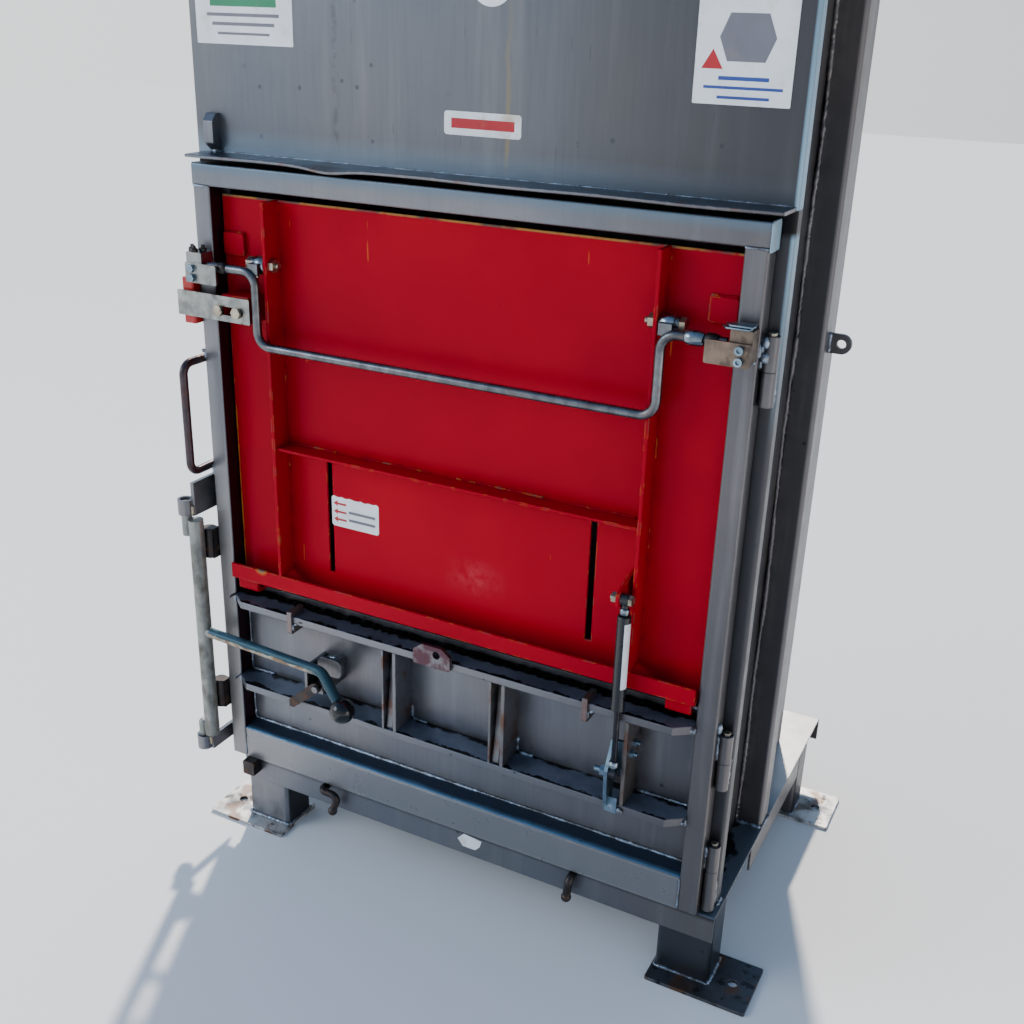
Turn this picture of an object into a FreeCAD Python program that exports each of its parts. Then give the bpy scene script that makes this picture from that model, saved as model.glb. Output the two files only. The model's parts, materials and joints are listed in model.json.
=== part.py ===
import FreeCAD, Part
import Sketcher
import math
import os

# A vertical recycling baler: a chamber with a large door in front, a red feed flap in the door,
# a crank lock on the left, and a hydraulic press above.
# Origin: the centre of the four floor anchor holes, on the floor. +Z up, the door faces -Y.

doc = FreeCAD.newDocument("baler")
sheet = doc.addObject("Spreadsheet::Sheet", "Sizes")
nodes = []
rows = []


class Size:
    """A length with the sheet formula that it comes from."""

    def __init__(self, number, text):
        self.number = number
        self.text = text

    def join(self, other, sign, number, swap=False):
        first, second = self.text, other.text if isinstance(other, Size) else repr(float(other))
        if swap:
            first, second = second, first
        return Size(number, "(" + first + " " + sign + " " + second + ")")

    def __add__(self, other):
        return self.join(other, "+", self.number + plain(other))

    def __radd__(self, other):
        return self.join(other, "+", plain(other) + self.number, True)

    def __sub__(self, other):
        return self.join(other, "-", self.number - plain(other))

    def __rsub__(self, other):
        return self.join(other, "-", plain(other) - self.number, True)

    def __mul__(self, other):
        return self.join(other, "*", self.number * plain(other))

    def __rmul__(self, other):
        return self.join(other, "*", plain(other) * self.number, True)

    def __truediv__(self, other):
        return self.join(other, "/", self.number / plain(other))

    def __neg__(self):
        return Size(-self.number, "(0 - " + self.text + ")")


def plain(value):
    """The number of a size, or the number itself."""
    return value.number if isinstance(value, Size) else float(value)


def size(name, number):
    """Writes one driving dimension to the sheet and returns it."""
    rows.append(name)
    line = str(len(rows))
    sheet.set("A" + line, name)
    sheet.set("B" + line, str(number))
    sheet.setAlias("B" + line, name)
    return Size(float(number), "Sizes." + name)


def bind(thing, prop, value):
    """Sets a property from a size, and ties it to the sheet."""
    if isinstance(value, Size):
        thing.setExpression(prop, value.text)
    elif prop.startswith("Placement.Base."):
        base = thing.Placement.Base
        setattr(base, prop[-1], value)
        thing.Placement.Base = base
    else:
        setattr(thing, prop, value)


def place(thing, x, y, z, rotation=None):
    """Puts an object at a point, turned first if a rotation is given."""
    if rotation is not None:
        thing.Placement = FreeCAD.Placement(FreeCAD.Vector(0, 0, 0), rotation)
    for letter, value in zip("xyz", (x, y, z)):
        bind(thing, "Placement.Base." + letter, value)
    return thing


TURN = {
    "z": FreeCAD.Rotation(),
    "x": FreeCAD.Rotation(FreeCAD.Vector(0, 1, 0), 90),
    "y": FreeCAD.Rotation(FreeCAD.Vector(1, 0, 0), -90),
}


def box(x, y, z):
    """A block between two limits on each axis."""
    block = doc.addObject("Part::Box", "block")
    for prop, (low, high) in zip(("Length", "Width", "Height"), (x, y, z)):
        bind(block, prop, high - low)
    return place(block, x[0], y[0], z[0])


def cylinder(x, y, z, radius, length, axis="z"):
    """A round bar that starts at a point and runs along an axis."""
    bar = doc.addObject("Part::Cylinder", "bar")
    bind(bar, "Radius", radius)
    bind(bar, "Height", length)
    return place(bar, x, y, z, TURN[axis])


def ball(x, y, z, radius):
    """A sphere."""
    sphere = doc.addObject("Part::Sphere", "ball")
    bind(sphere, "Radius", radius)
    return place(sphere, x, y, z)


def hexagon(x, y, z, across, length, axis="z"):
    """A hexagonal bolt head or nut, given the width across its flats."""
    head = doc.addObject("Part::Prism", "hexagon")
    head.Polygon = 6
    bind(head, "Circumradius", across * (1 / math.sqrt(3)))
    bind(head, "Height", length)
    return place(head, x, y, z, TURN[axis])


def cut(base, *tools):
    """The base less each tool."""
    for tool in tools:
        result = doc.addObject("Part::Cut", "cut")
        result.Base = base
        result.Tool = tool
        base = result
    return base


def fuse(*things):
    """One solid from several that meet."""
    result = doc.addObject("Part::MultiFuse", "join")
    result.Shapes = list(things)
    result.Refine = True
    return result


def rounded(thing, radius, test):
    """Rounds the edges of an object that the test picks."""
    doc.recompute()
    edges = []
    for number, edge in enumerate(thing.Shape.Edges, 1):
        if test(edge):
            edges.append((number, plain(radius), plain(radius)))
    result = doc.addObject("Part::Fillet", "rounded")
    result.Base = thing
    result.Edges = edges
    return result


def ends(edge):
    """A test for the round edges at the ends of a bar."""
    return edge.Closed and edge.Curve.TypeId == "Part::GeomCircle"


def along(axis, near=None):
    """A test for straight edges along an axis, and near a plane where one is given."""
    direction = {"x": (1, 0, 0), "y": (0, 1, 0), "z": (0, 0, 1)}[axis]

    def test(edge):
        if edge.Curve.TypeId != "Part::GeomLine":
            return False
        if abs(edge.Curve.Direction.dot(FreeCAD.Vector(*direction))) < 0.999:
            return False
        if near is None:
            return True
        middle = edge.CenterOfMass
        return all(abs(getattr(middle, letter) - plain(value)) < 0.01 for letter, value in near.items())

    return test


def prism(plane, points, start, depth, radius=None):
    """A plate with a straight-sided outline, sketched on a plane and padded.

    plane is the pair of axes that the points are on. The pad runs from start by depth along the third."""
    axes = {"xy": ("XY_Plane", "z"), "xz": ("XZ_Plane", "y"), "yz": ("YZ_Plane", "x")}
    role, normal = axes[plane]
    body = doc.addObject("PartDesign::Body", "plate")
    base = [feature for feature in body.Origin.OriginFeatures if feature.Role == role][0]
    sketch = body.newObject("Sketcher::SketchObject", "outline")
    sketch.AttachmentSupport = [(base, "")]
    sketch.MapMode = "FlatFace"
    vectors = [FreeCAD.Vector(plain(u), plain(v), 0) for u, v in points]
    count = len(points)
    for index in range(count):
        sketch.addGeometry(Part.LineSegment(vectors[index], vectors[(index + 1) % count]), False)
    for index in range(count):
        constrain(sketch, "Coincident", index, 2, (index + 1) % count, 1)
    for index, pair in enumerate(points):
        for kind, value in zip(("DistanceX", "DistanceY"), pair):
            constrain(sketch, kind, -1, 1, index, 1, plain(value))
            if isinstance(value, Size):
                sketch.setExpression("Constraints[%d]" % (sketch.ConstraintCount - 1), value.text)
    pad = body.newObject("PartDesign::Pad", "pad")
    pad.Profile = sketch
    bind(pad, "Length", depth)
    body.Tip = pad
    if normal == "y":
        pad.Reversed = True
    offset = {"x": 0, "y": 0, "z": 0}
    offset[normal] = start
    place(body, offset["x"], offset["y"], offset["z"])
    if radius is None:
        return body
    return rounded(body, radius, along(normal))


def constrain(sketch, *values):
    """Adds one constraint to a sketch."""
    sketch.addConstraint(Sketcher.Constraint(*values))


def rod(points, radius, bends):
    """A round bar bent along a route: straight runs joined by tangent arcs."""
    route = [FreeCAD.Vector(*[plain(value) for value in point]) for point in points]
    edges = []
    start = route[0]
    for index in range(1, len(route) - 1):
        before = (route[index - 1] - route[index]).normalize()
        after = (route[index + 1] - route[index]).normalize()
        half = before.getAngle(after) / 2
        bend = plain(bends[index - 1] if isinstance(bends, (list, tuple)) else bends)
        reach = bend / math.tan(half)
        first = route[index] + before * reach
        last = route[index] + after * reach
        centre = route[index] + (before + after).normalize() * (bend / math.sin(half))
        middle = centre + (route[index] - centre).normalize() * bend
        edges.append(Part.LineSegment(start, first).toShape())
        edges.append(Part.Arc(first, middle, last).toShape())
        start = last
    edges.append(Part.LineSegment(start, route[-1]).toShape())
    path = Part.Wire(edges)
    circle = Part.Circle(route[0], route[1] - route[0], plain(radius))
    bar = doc.addObject("Part::Feature", "bent_bar")
    bar.Shape = path.makePipeShell([Part.Wire(circle.toShape())], True, False)
    bar.Placement = FreeCAD.Placement()
    return bar


def square_tube(x, y, z, axis, wall, radius):
    """A rounded rectangular tube with open ends."""
    spans = {"x": x, "y": y, "z": z}
    outer = rounded(box(x, y, z), radius, along(axis))
    inner = {}
    for letter, (low, high) in spans.items():
        grow = over if letter == axis else -wall
        inner[letter] = (low - grow, high + grow)
    return cut(outer, rounded(box(inner["x"], inner["y"], inner["z"]), plain(radius) / 2, along(axis)))


def node(name, thing):
    """Names a finished sub-part."""
    thing.Label = name
    nodes.append((name, thing))
    return thing


def group(name, things):
    """Several like pieces under one name, each a solid of its own."""
    result = doc.addObject("Part::Compound", "set")
    result.Links = list(things)
    return node(name, result)


# ---------------------------------------------------------------- driving dimensions

# how far a cutting tool runs past the face that it opens
over = 1

# main sizes, from which the others are set out
base_half = size("base_half_width", 402)
hole_half_y = size("anchor_half_span_y", 232)
base_top = size("base_top", 122.5)
leaf_height = size("leaf_height", 935.9)
top_height = size("cabinet_top", 1640)

# floor and base
hole_outset = size("anchor_hole_outset", 31)
hole_radius = size("anchor_hole_radius", 7)
foot_width = size("foot_width", 146)
foot_depth = size("foot_depth", 96)
foot_thick = size("foot_thickness", 5)
foot_edge = size("foot_hole_edge", 31)
foot_corner = size("foot_corner", 3)
leg_width = size("leg_width", 80)
leg_depth = size("leg_depth", 60)
leg_wall = size("leg_wall", 4)
leg_corner = size("leg_corner", 8)
front_overhang = size("front_overhang", 22.5)
rear_overhang = size("rear_overhang", 94.5)
rear_leg_setback = size("rear_leg_setback", 40)
base_skirt = size("base_skirt", 42)
skirt_setback = size("side_skirt_setback", 174.5)
pan_corner = size("pan_corner", 4)
sheet_thick = size("sheet_thickness", 3)

hole_half_x = base_half + hole_outset
base_front = -(hole_half_y + front_overhang)
base_back = hole_half_y + rear_overhang
leg_front = base_front + sheet_thick
leg_rear = hole_half_y - rear_leg_setback
skin_top = base_top - sheet_thick

# chamber and cabinet
front_outset = size("front_outset", 37)
front_right_gap = size("front_right_gap", 7)
front_inset = size("front_inset", 27)
front_lip = size("front_lip", 20)
front_corner = size("front_corner", 6)
wall_right_gap = size("wall_right_gap", 42)
wall_thick = size("wall_thickness", 4)
wall_back_gap = size("wall_back_gap", 106.5)
mouth_margin = size("mouth_margin", 16)
mouth_overlap = size("mouth_overlap", 14.4)
mouth_corner = size("mouth_corner", 12)
column_side = size("column_side", 40)
column_setback = size("column_setback", 199)
column_wall = size("column_wall", 3)
column_corner = size("column_corner", 6)
drip_rise = size("drip_lip_rise", 12.6)
drip_depth = size("drip_lip_depth", 48)
drip_thick = size("drip_lip_thickness", 4)
drip_corner = size("drip_lip_corner", 14)
drip_round = size("drip_lip_round", 1.2)
drip_left_gap = size("drip_lip_left_gap", 20)
drip_right_gap = size("drip_lip_right_gap", 2)
eye_lug_drop = size("eye_lug_drop", 60)
eye_hole = size("eye_lug_hole_radius", 6)
lug_thick = size("eye_lug_thickness", 6)
lug_reach = size("eye_lug_reach", 16)
lug_radius = size("eye_lug_radius", 13)
lug_inset = size("eye_lug_inset", 10)
hook_width = size("panel_lug_width", 16)
hook_height = size("panel_lug_height", 50)
hook_depth = size("panel_lug_depth", 16)
hook_slope = size("panel_lug_slope", 10)
hook_heel = size("panel_lug_heel", 12)
hook_corner = size("panel_lug_round", 1.5)
hook_left_gap = size("panel_lug_left_gap", 27)
guide_span = size("platen_guide_span", 300)
guide_width = size("platen_guide_width", 30)
guide_depth = size("platen_guide_depth", 20)
guide_drop = size("platen_guide_drop", 560)
plate_corner = size("top_plate_corner", 8)
top_plate = size("top_plate_thickness", 10)

front_left = -base_half - front_outset
front_right = base_half - front_right_gap
front_face = base_front + front_inset
wall_front = front_face + sheet_thick
wall_right = base_half - wall_right_gap
wall_back = base_back - wall_back_gap
mouth_left = -base_half + mouth_margin
mouth_right = wall_right - mouth_margin
column_front = front_face + column_setback

# door leaf
leaf_outset = size("leaf_outset", 20.5)
leaf_right_gap = size("leaf_right_gap", 24.5)
leaf_stand = size("leaf_stand", 6)
leaf_clearance = size("leaf_clearance", 1)
stile_width = size("stile_width", 28)
frame_depth = size("frame_depth", 30)
frame_wall = size("frame_wall", 2.5)
frame_round = size("frame_round", 3)
rail_height = size("top_rail_height", 30)
bottom_rail = size("bottom_rail_height", 51.5)
bottom_slope = size("bottom_rail_slope", 9)
bottom_ledge = size("bottom_rail_ledge", 6)
bottom_round = size("bottom_rail_round", 4)
panel_rise = size("lower_panel_rise", 304.5)
shelf_step = size("top_shelf_step", 9)
middle_rise = size("middle_shelf_rise", 152.5)
shelf_thick = size("shelf_thickness", 12)
shelf_reach = size("shelf_reach", 19)
shelf_chamfer = size("shelf_chamfer", 24)
shelf_round = size("shelf_round", 1.5)
strap_slot = size("strap_slot_width", 16)
strap_bar = size("strap_bar_thickness", 5)
strap_wall = size("strap_wall_thickness", 3)
strap_offset = size("strap_offset", 76)
strap_pitch = size("strap_pitch", 177)
strap_margin = size("strap_slot_margin", 2)
strip_width = size("strap_strip_width", 10)
strip_thick = size("strap_strip_thickness", 3)
strip_front = size("strap_strip_front", 14)
strip_run = size("strap_strip_run", 17)
tab_height = size("tab_height", 36)
tab_thick = size("tab_thickness", 8)
tab_reach = size("tab_reach", 4)
tab_depth = size("tab_depth", 8)
tab_rise = size("tab_rise", 8)
tab_round = size("tab_round", 3)
tab_fit = size("tab_fit", 0.01)
tab_left_inset = size("tab_left_inset", 141.5)
tab_right_inset = size("tab_right_inset", 177.5)
shelf_lug_offset = size("shelf_lug_offset", 37.5)
shelf_lug_width = size("shelf_lug_width", 60)
shelf_lug_rise = size("shelf_lug_rise", 21)
shelf_lug_thick = size("shelf_lug_thickness", 6)
shelf_lug_bevel = size("shelf_lug_bevel", 11)
shelf_lug_side = size("shelf_lug_side", 14)
shelf_lug_round = size("shelf_lug_round", 4)
shelf_hole = size("shelf_lug_hole_radius", 6)
shelf_hole_inset = size("shelf_lug_hole_inset", 22)
shelf_hole_rise = size("shelf_lug_hole_rise", 9)

leaf_left = -base_half - leaf_outset
leaf_right = base_half - leaf_right_gap
leaf_middle = (leaf_left + leaf_right) / 2
leaf_front = base_front - leaf_stand
leaf_back = leaf_front + frame_depth
leaf_low = base_top + leaf_clearance
leaf_high = leaf_low + leaf_height
opening_left = leaf_left + stile_width
opening_right = leaf_right - stile_width
mouth_top = leaf_high - mouth_overlap
drip_top = leaf_high + drip_rise
panel_top = leaf_low + panel_rise
shelf_top = panel_top - shelf_step
middle_top = leaf_low + middle_rise
shelf_front = leaf_front - shelf_reach
panel_face = leaf_back - sheet_thick

# hinges of the door
hinge_outset = size("hinge_outset", 9.5)
hinge_setback = size("hinge_setback", 19)
hinge_radius = size("hinge_radius", 9)
hinge_pin = size("hinge_pin_radius", 5)
hinge_fit = size("hinge_fit", 0.05)
hinge_length = size("hinge_length", 41)
hinge_long = size("hinge_long", 65)
hinge_gap = size("hinge_gap", 0.5)
hinge_web = size("hinge_web", 8)
pin_rise = size("hinge_pin_rise", 4)
pin_round = size("hinge_pin_round", 1.5)
hinge_high_drop = size("hinge_high_drop", 167.9)
hinge_middle_rise = size("hinge_middle_rise", 243)
hinge_lower_rise = size("hinge_lower_rise", 69)

hinge_x = leaf_right + hinge_outset
hinge_y = leaf_front + hinge_setback
hinge_joints = (
    (leaf_high - hinge_high_drop, hinge_length),
    (leaf_low + hinge_middle_rise, hinge_length),
    (leaf_low + hinge_lower_rise, hinge_long),
)

# crank lock
lock_outset = size("lock_outset", 17.5)
lock_stand = size("lock_stand", 27)
lock_throw = size("lock_throw", 17)
lock_shaft = size("lock_shaft_radius", 11.4)
lock_pin = size("lock_pin_radius", 8)
lock_barrel = size("lock_barrel_radius", 12)
lock_rise = size("lock_shaft_rise", 52.5)
lock_length = size("lock_shaft_length", 358)
lock_end = size("lock_shaft_end", 9)
lock_gap = size("lock_bearing_gap", 6)
lock_pin_sink = size("lock_pin_sink", 4)
lock_pin_high = size("lock_pin_lap_high", 28)
lock_pin_low = size("lock_pin_lap_low", 22)
lock_pin_dome = size("lock_pin_dome", 6)
barrel_length = size("lock_barrel_length", 24)
lock_plate = size("lock_plate_thickness", 6)
lock_plate_high = size("lock_plate_height", 52)
lock_plate_round = size("lock_plate_round", 5)
lock_plate_inset = size("lock_plate_inset", 2)
lever_rise = size("lever_rise", 78.5)
lever_radius = size("lever_radius", 8)
lever_bend = size("lever_bend", 22)
lever_elbow_run = size("lever_elbow_run", 248.5)
lever_elbow_out = size("lever_elbow_out", 12.5)
lever_ball_run = size("lever_ball_run", 294.5)
lever_ball_out = size("lever_ball_out", 28.5)
lever_ball_drop = size("lever_ball_drop", 43.5)
ball_radius = size("ball_radius", 18.5)
roller_radius = size("roller_radius", 11)
roller_length = size("roller_length", 48)
roller_clear = size("roller_clearance", 0.5)
roller_touch = size("roller_to_shaft", 0.3)
roller_high_drop = size("roller_high_drop", 58)
roller_low_rise = size("roller_low_rise", 36)
roller_round = size("roller_round", 1.5)
roller_web = size("roller_web", 6)
roller_web_back = size("roller_web_back", 9)

lock_x = front_left - lock_outset
lock_y = leaf_front - lock_stand
lock_low = leaf_low + lock_rise
lock_high = lock_low + lock_length
lever_height = middle_top + lever_rise
ball_place = (lock_x + lever_ball_run, lock_y - lever_ball_out, lever_height - lever_ball_drop)
lever_route = [
    (lock_x + lock_throw, lock_y, lever_height),
    (lock_x + lever_elbow_run, lock_y - lever_elbow_out, lever_height),
    ball_place,
]

# feed flap
flap_side_gap = size("flap_side_gap", 2)
flap_low_gap = size("flap_low_gap", 23)
flap_high_gap = size("flap_high_gap", 41.4)
flap_stand = size("flap_stand", 8)
flap_sheet = size("flap_sheet", 3)
flap_depth = size("flap_depth", 32)
angle_height = size("flap_angle_height", 24)
angle_thick = size("flap_angle_thickness", 4)
angle_round = size("flap_angle_round", 2)
rib_thick = size("rib_thickness", 5)
rib_inset = size("rib_inset", 121.5)
cross_rise = size("cross_rib_rise", 225)
cross_thick = size("cross_rib_thickness", 4)
cross_setback = size("cross_rib_setback", 4)
slot_width = size("flap_slot_width", 9)
slot_rise = size("flap_slot_rise", 36)
slot_height = size("flap_slot_height", 175)
slot_inset = size("flap_slot_inset", 194)
pivot_setback = size("flap_pivot_setback", 12)
pivot_drop = size("flap_pivot_drop", 11)
flap_pin = size("flap_pin_radius", 5)
pin_reach = size("flap_pin_reach", 8)
block_width = size("flap_block_width", 35)
block_height = size("flap_block_height", 20.5)
block_depth = size("flap_block_depth", 24)
block_inset = size("flap_block_inset", 6)
block_round = size("flap_block_round", 5)
pad_side = size("flap_pad_side", 34)
pad_height = size("flap_pad_height", 30)
pad_thick = size("flap_pad_thickness", 6)
pad_inset = size("flap_pad_inset", 3)
pad_rise = size("flap_pad_rise", 4)
pad_round = size("flap_pad_round", 3)

flap_front = leaf_front - flap_stand
flap_low = panel_top + flap_low_gap
flap_high = leaf_high - flap_high_gap
flap_face = flap_front + flap_depth
flap_left = opening_left + flap_side_gap
flap_right = opening_right - flap_side_gap
cross_top = flap_low + cross_rise
pivot_y = leaf_front + pivot_setback
pivot_z = flap_low - pivot_drop
rib_left = leaf_left + rib_inset
rib_right = leaf_right - rib_inset
rib_half = rib_thick / 2

# bail latch of the flap
bail_drop = size("bail_drop", 101)
bail_depth = size("bail_depth", 4)
bail_below_top = size("bail_below_top", 84)
bail_throw_y = size("bail_throw_y", 19)
bail_throw_z = size("bail_throw_z", 8)
bail_radius = size("bail_radius", 6)
bail_bend = size("bail_bend", 20)
bail_arm = size("bail_arm_inset", 110)
bail_tip = size("bail_tip_gap", 4)
hub_radius = size("bail_hub_radius", 9)
hub_length = size("bail_hub_length", 24)
hub_gap = size("bail_hub_gap", 0.5)
hub_web = size("bail_hub_web", 3)
hub_web_inset = size("bail_hub_web_inset", 4)
bolt_radius = size("bail_bolt_radius", 4)
bolt_play = size("bail_bolt_play", 0.2)
bail_head = size("bail_bolt_head", 7)
bail_nut = size("bail_nut_height", 8)
bail_across = size("bail_bolt_across", 16)
bail_thread = size("bail_thread_past_nut", 6)
keeper_thick = size("keeper_thickness", 4)
keeper_height = size("keeper_height", 27)
keeper_width = size("keeper_width", 53)
keeper_drop = size("keeper_drop", 31)
keeper_overhang = size("keeper_overhang", 26)
keeper_stand = size("keeper_stand_off", 24)
keeper_round = size("keeper_round", 2)
keeper_block_inset = size("keeper_block_inset", 1)
keeper_block_low = size("keeper_block_foot", 2)
keeper_block_rise = size("keeper_block_rise", 14)
screw_low = size("keeper_screw_low", 7)
screw_high = size("keeper_screw_high", 20)
screw_hole = size("keeper_screw_hole", 3.4)
screw_radius = size("keeper_screw_radius", 3.3)
screw_side = size("keeper_screw_side", 1)
screw_across = size("keeper_screw_across", 10)
screw_head = size("keeper_screw_head", 5)
socket_head = size("socket_head_height", 6)
socket_radius = size("socket_head_radius", 5)
socket_across = size("socket_across", 5)
socket_depth = size("socket_depth", 3)

bail_y = leaf_front + bail_depth
bail_z = flap_high - bail_below_top
keeper_low = bail_z - keeper_drop
keeper_steps = (screw_low, screw_high)

# limit switch and its flag
flag_drop = size("flag_drop", 81)
flag_outset = size("flag_outset", 24.5)
flag_width = size("flag_width", 125)
flag_height = size("flag_height", 35)
flag_thick = size("flag_thickness", 3)
flag_stand = size("flag_stand", 19)
flag_round = size("flag_round", 1.5)
flag_slot = size("flag_slot_radius", 6)
flag_slot_start = size("flag_slot_start", 70)
flag_slot_end = size("flag_slot_end", 108)
flag_slot_rise = size("flag_slot_rise", 15)
flag_bolt_first = size("flag_bolt_first", 74)
flag_bolt_second = size("flag_bolt_second", 105)
flag_bolt_across = size("flag_bolt_across", 14)
flag_bolt_head = size("flag_bolt_head", 6)
stand_inset = size("flag_stand_inset", 22)
stand_width = size("flag_stand_width", 46)
stand_height = size("flag_stand_height", 37)
stand_wall = size("flag_stand_wall", 3)
stand_corner = size("flag_stand_corner", 2)
sensor_gap = size("sensor_gap", 5)
sensor_width = size("sensor_width", 20)
sensor_height = size("sensor_height", 64)
sensor_clear = size("sensor_clearance", 2.5)
sensor_drop = size("sensor_drop", 13)
sensor_round = size("sensor_round", 3)

flag_low = bail_z - flag_drop
flag_left = leaf_left - flag_outset
flag_front = leaf_front - flag_stand

# gas strut
strut_inset = size("strut_inset", 125.5)
strut_stand = size("strut_stand", 26)
strut_high_rise = size("strut_high_rise", 136)
strut_low_rise = size("strut_low_rise", 53)
strut_radius = size("strut_radius", 9)
strut_tube = size("strut_tube_length", 138)
strut_neck = size("strut_neck", 22)
strut_round = size("strut_round", 2)
strut_end = size("strut_end_wall", 10)
strut_rod = size("strut_rod_radius", 4)
strut_fit = size("strut_fit", 0.05)
strut_collar = size("strut_collar_radius", 4.7)
collar_length = size("strut_collar_length", 12)
collar_lap = size("strut_collar_lap", 2)
strut_overlap = size("strut_overlap", 50)
eye_radius = size("eye_radius", 8)
eye_width = size("eye_width", 10)
eye_gap = size("eye_gap", 0.3)
strut_bolt = size("strut_bolt_radius", 4)
strut_across = size("strut_bolt_across", 13)
strut_head = size("strut_bolt_head", 7)
strut_cap = size("strut_bolt_cap", 3.5)
strut_nut = size("strut_nut_height", 5)
strut_thread = size("strut_thread_past_nut", 2)
strut_rib_gap = size("strut_rib_gap", 9)
arm_drop = size("strut_arm_drop", 21)
arm_rise = size("strut_arm_rise", 23)
arm_slope = size("strut_arm_slope", 17)
arm_nose = size("strut_arm_nose", 9)
arm_chin = size("strut_arm_chin", 12)
arm_round = size("strut_arm_round", 3)
arm_bevel = size("strut_arm_bevel", 2)
bracket_thick = size("bracket_thickness", 5)
gusset_gap = size("gusset_gap", 4)
gusset_top = size("gusset_top", 43)
gusset_slope = size("gusset_slope", 3)
gusset_nose = size("gusset_nose", 8)
gusset_chin = size("gusset_chin", 4)
gusset_shoulder = size("gusset_shoulder", 12)
gusset_depth = size("gusset_depth", 30)
gusset_foot = size("gusset_foot", 4)
nut_across = size("gusset_nut_across", 10)
nut_height = size("gusset_nut_height", 5)
stud_radius = size("gusset_stud_radius", 3)
stud_back = size("gusset_stud_back", 12)
stud_drop = size("gusset_stud_drop", 21)
stud_step_y = size("gusset_stud_step_y", 10)
stud_step_z = size("gusset_stud_step_z", 12)
stud_thread = size("gusset_thread", 9)

strut_x = leaf_right - strut_inset
strut_y = leaf_front - strut_stand
strut_high = flap_low + strut_high_rise
strut_low = middle_top + strut_low_rise
strut_rib = strut_x + strut_rib_gap

# rest and release pawl of the lever
catch_run = size("catch_run", 204.5)
catch_out = size("catch_out", 24)
catch_drop = size("catch_drop", 10.5)
catch_thick = size("catch_thickness", 5)
catch_round = size("catch_round", 2)
catch_floor = size("catch_floor", 7)
catch_lap = size("catch_lap", 7)
catch_boss = size("catch_boss_radius", 7)
catch_inset = size("catch_inset", 2)
catch_web = size("catch_web", 10)
catch_web_gap = size("catch_web_gap", 4)
catch_web_drop = size("catch_web_drop", 6)
hook_run = size("catch_hook_run", 40)
hook_back = size("catch_hook_back", 2)
hook_thick = size("catch_hook_thickness", 6)
hook_low = size("catch_hook_low", 16)
hook_high = size("catch_hook_high", 13)
hook_round = size("catch_hook_round", 10)
pawl_run = size("pawl_run", 230.5)
pawl_drop = size("pawl_drop", 38.5)
pawl_pin = size("pawl_pin_radius", 3)
pawl_thick = size("pawl_thickness", 6)
pawl_play = size("pawl_play", 0.4)
pawl_length = size("pawl_length", 52)
pawl_heel = size("pawl_heel", 8)
pawl_bevel = size("pawl_bevel", 2)
pawl_low = size("pawl_low", 46)
pawl_tip = size("pawl_tip", 12)
pawl_nut_across = size("pawl_nut_across", 10)
pawl_nut = size("pawl_nut_height", 5)

catch_x = lock_x + catch_run
catch_front = leaf_front - catch_out
catch_top = lever_height - catch_drop
pawl_x = lock_x + pawl_run
pawl_z = lever_height - pawl_drop

# pull handle
pull_high_gap = size("pull_handle_high_gap", 66)
pull_low_gap = size("pull_handle_low_gap", 90)
pull_stand = size("pull_handle_stand", 40)
pull_depth = size("pull_handle_foot", 17)
pull_radius = size("pull_handle_radius", 6)
pull_bend = size("pull_handle_bend", 16)

# door rest and strap hooks
rest_inset = size("rest_inset", 30)
rest_width = size("rest_width", 22)
rest_depth = size("rest_depth", 20)
rest_height = size("rest_height", 24.5)
rest_gap = size("rest_gap", 1)
rest_round = size("rest_round", 2)
strap_hook = size("strap_hook_radius", 6)
strap_hook_drop = size("strap_hook_drop", 7.5)
strap_hook_out = size("strap_hook_out", 15)
strap_hook_length = size("strap_hook_length", 30)
strap_hook_first = size("strap_hook_first", 182)
strap_hook_second = size("strap_hook_second", 187)
strap_hook_run = size("strap_hook_run", 32)
strap_hook_back = size("strap_hook_back", 10)
strap_hook_bend = size("strap_hook_bend", 9)
strap_hook_small = size("strap_hook_small_bend", 7)
strap_hook_tilt = size("strap_hook_tilt", 2)
strap_hook_knob = size("strap_hook_knob_radius", 7.5)

# press
press_radius = size("press_radius", 45)
press_bore = size("press_bore", 35)
press_rod = size("press_rod_radius", 22)
press_fit = size("press_fit", 0.05)
press_drop = size("press_drop", 460)
press_rise = size("press_rise", 200)
press_setback = size("press_setback", 7.75)
press_gland = size("press_gland", 40)
press_end = size("press_end", 20)
press_cap = size("press_cap", 22)
press_cap_rim = size("press_cap_rim", 4)
press_cap_round = size("press_cap_round", 3)
piston_length = size("piston_length", 40)
piston_gap = size("piston_gap", 6)
flange_radius = size("press_flange_radius", 80)
flange_thick = size("press_flange_thickness", 20)
platen_height = size("platen_height", 60)
platen_drop = size("platen_drop", 30)
platen_gap = size("platen_gap", 8)
platen_sheet = size("platen_sheet", 14)
platen_crown = size("platen_crown", 12)
platen_inset = size("platen_inset", 12)
platen_rib = size("platen_rib", 10)
platen_pitch = size("platen_pitch", 160)
platen_ribs = 4
crown_half_x = size("crown_half_width", 250)
crown_half_y = size("crown_half_depth", 60)
port_radius = size("port_radius", 11)
port_reach = size("port_reach", 12)
port_low = size("port_low", 60)
port_high = size("port_high", 150)
pipe_radius = size("pipe_radius", 6)
pipe_bend = size("pipe_bend", 14)
pipe_inset = size("pipe_inset", 14)
pipe_clear = size("pipe_clearance", 2)
tank_inset = size("tank_inset", 10)
tank_height = size("tank_height", 150)
tank_front = size("tank_front", 90)
tank_depth = size("tank_depth", 280)
tank_corner = size("tank_corner", 8)
filler_radius = size("filler_radius", 22)
filler_height = size("filler_height", 18)
filler_side = size("filler_side", 30)
filler_back = size("filler_back", 40)
motor_radius = size("motor_radius", 60)
motor_length = size("motor_length", 170)
motor_inset = size("motor_inset", 20)
motor_lift = size("motor_lift", 12)
motor_foot = size("motor_foot", 90)
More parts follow.
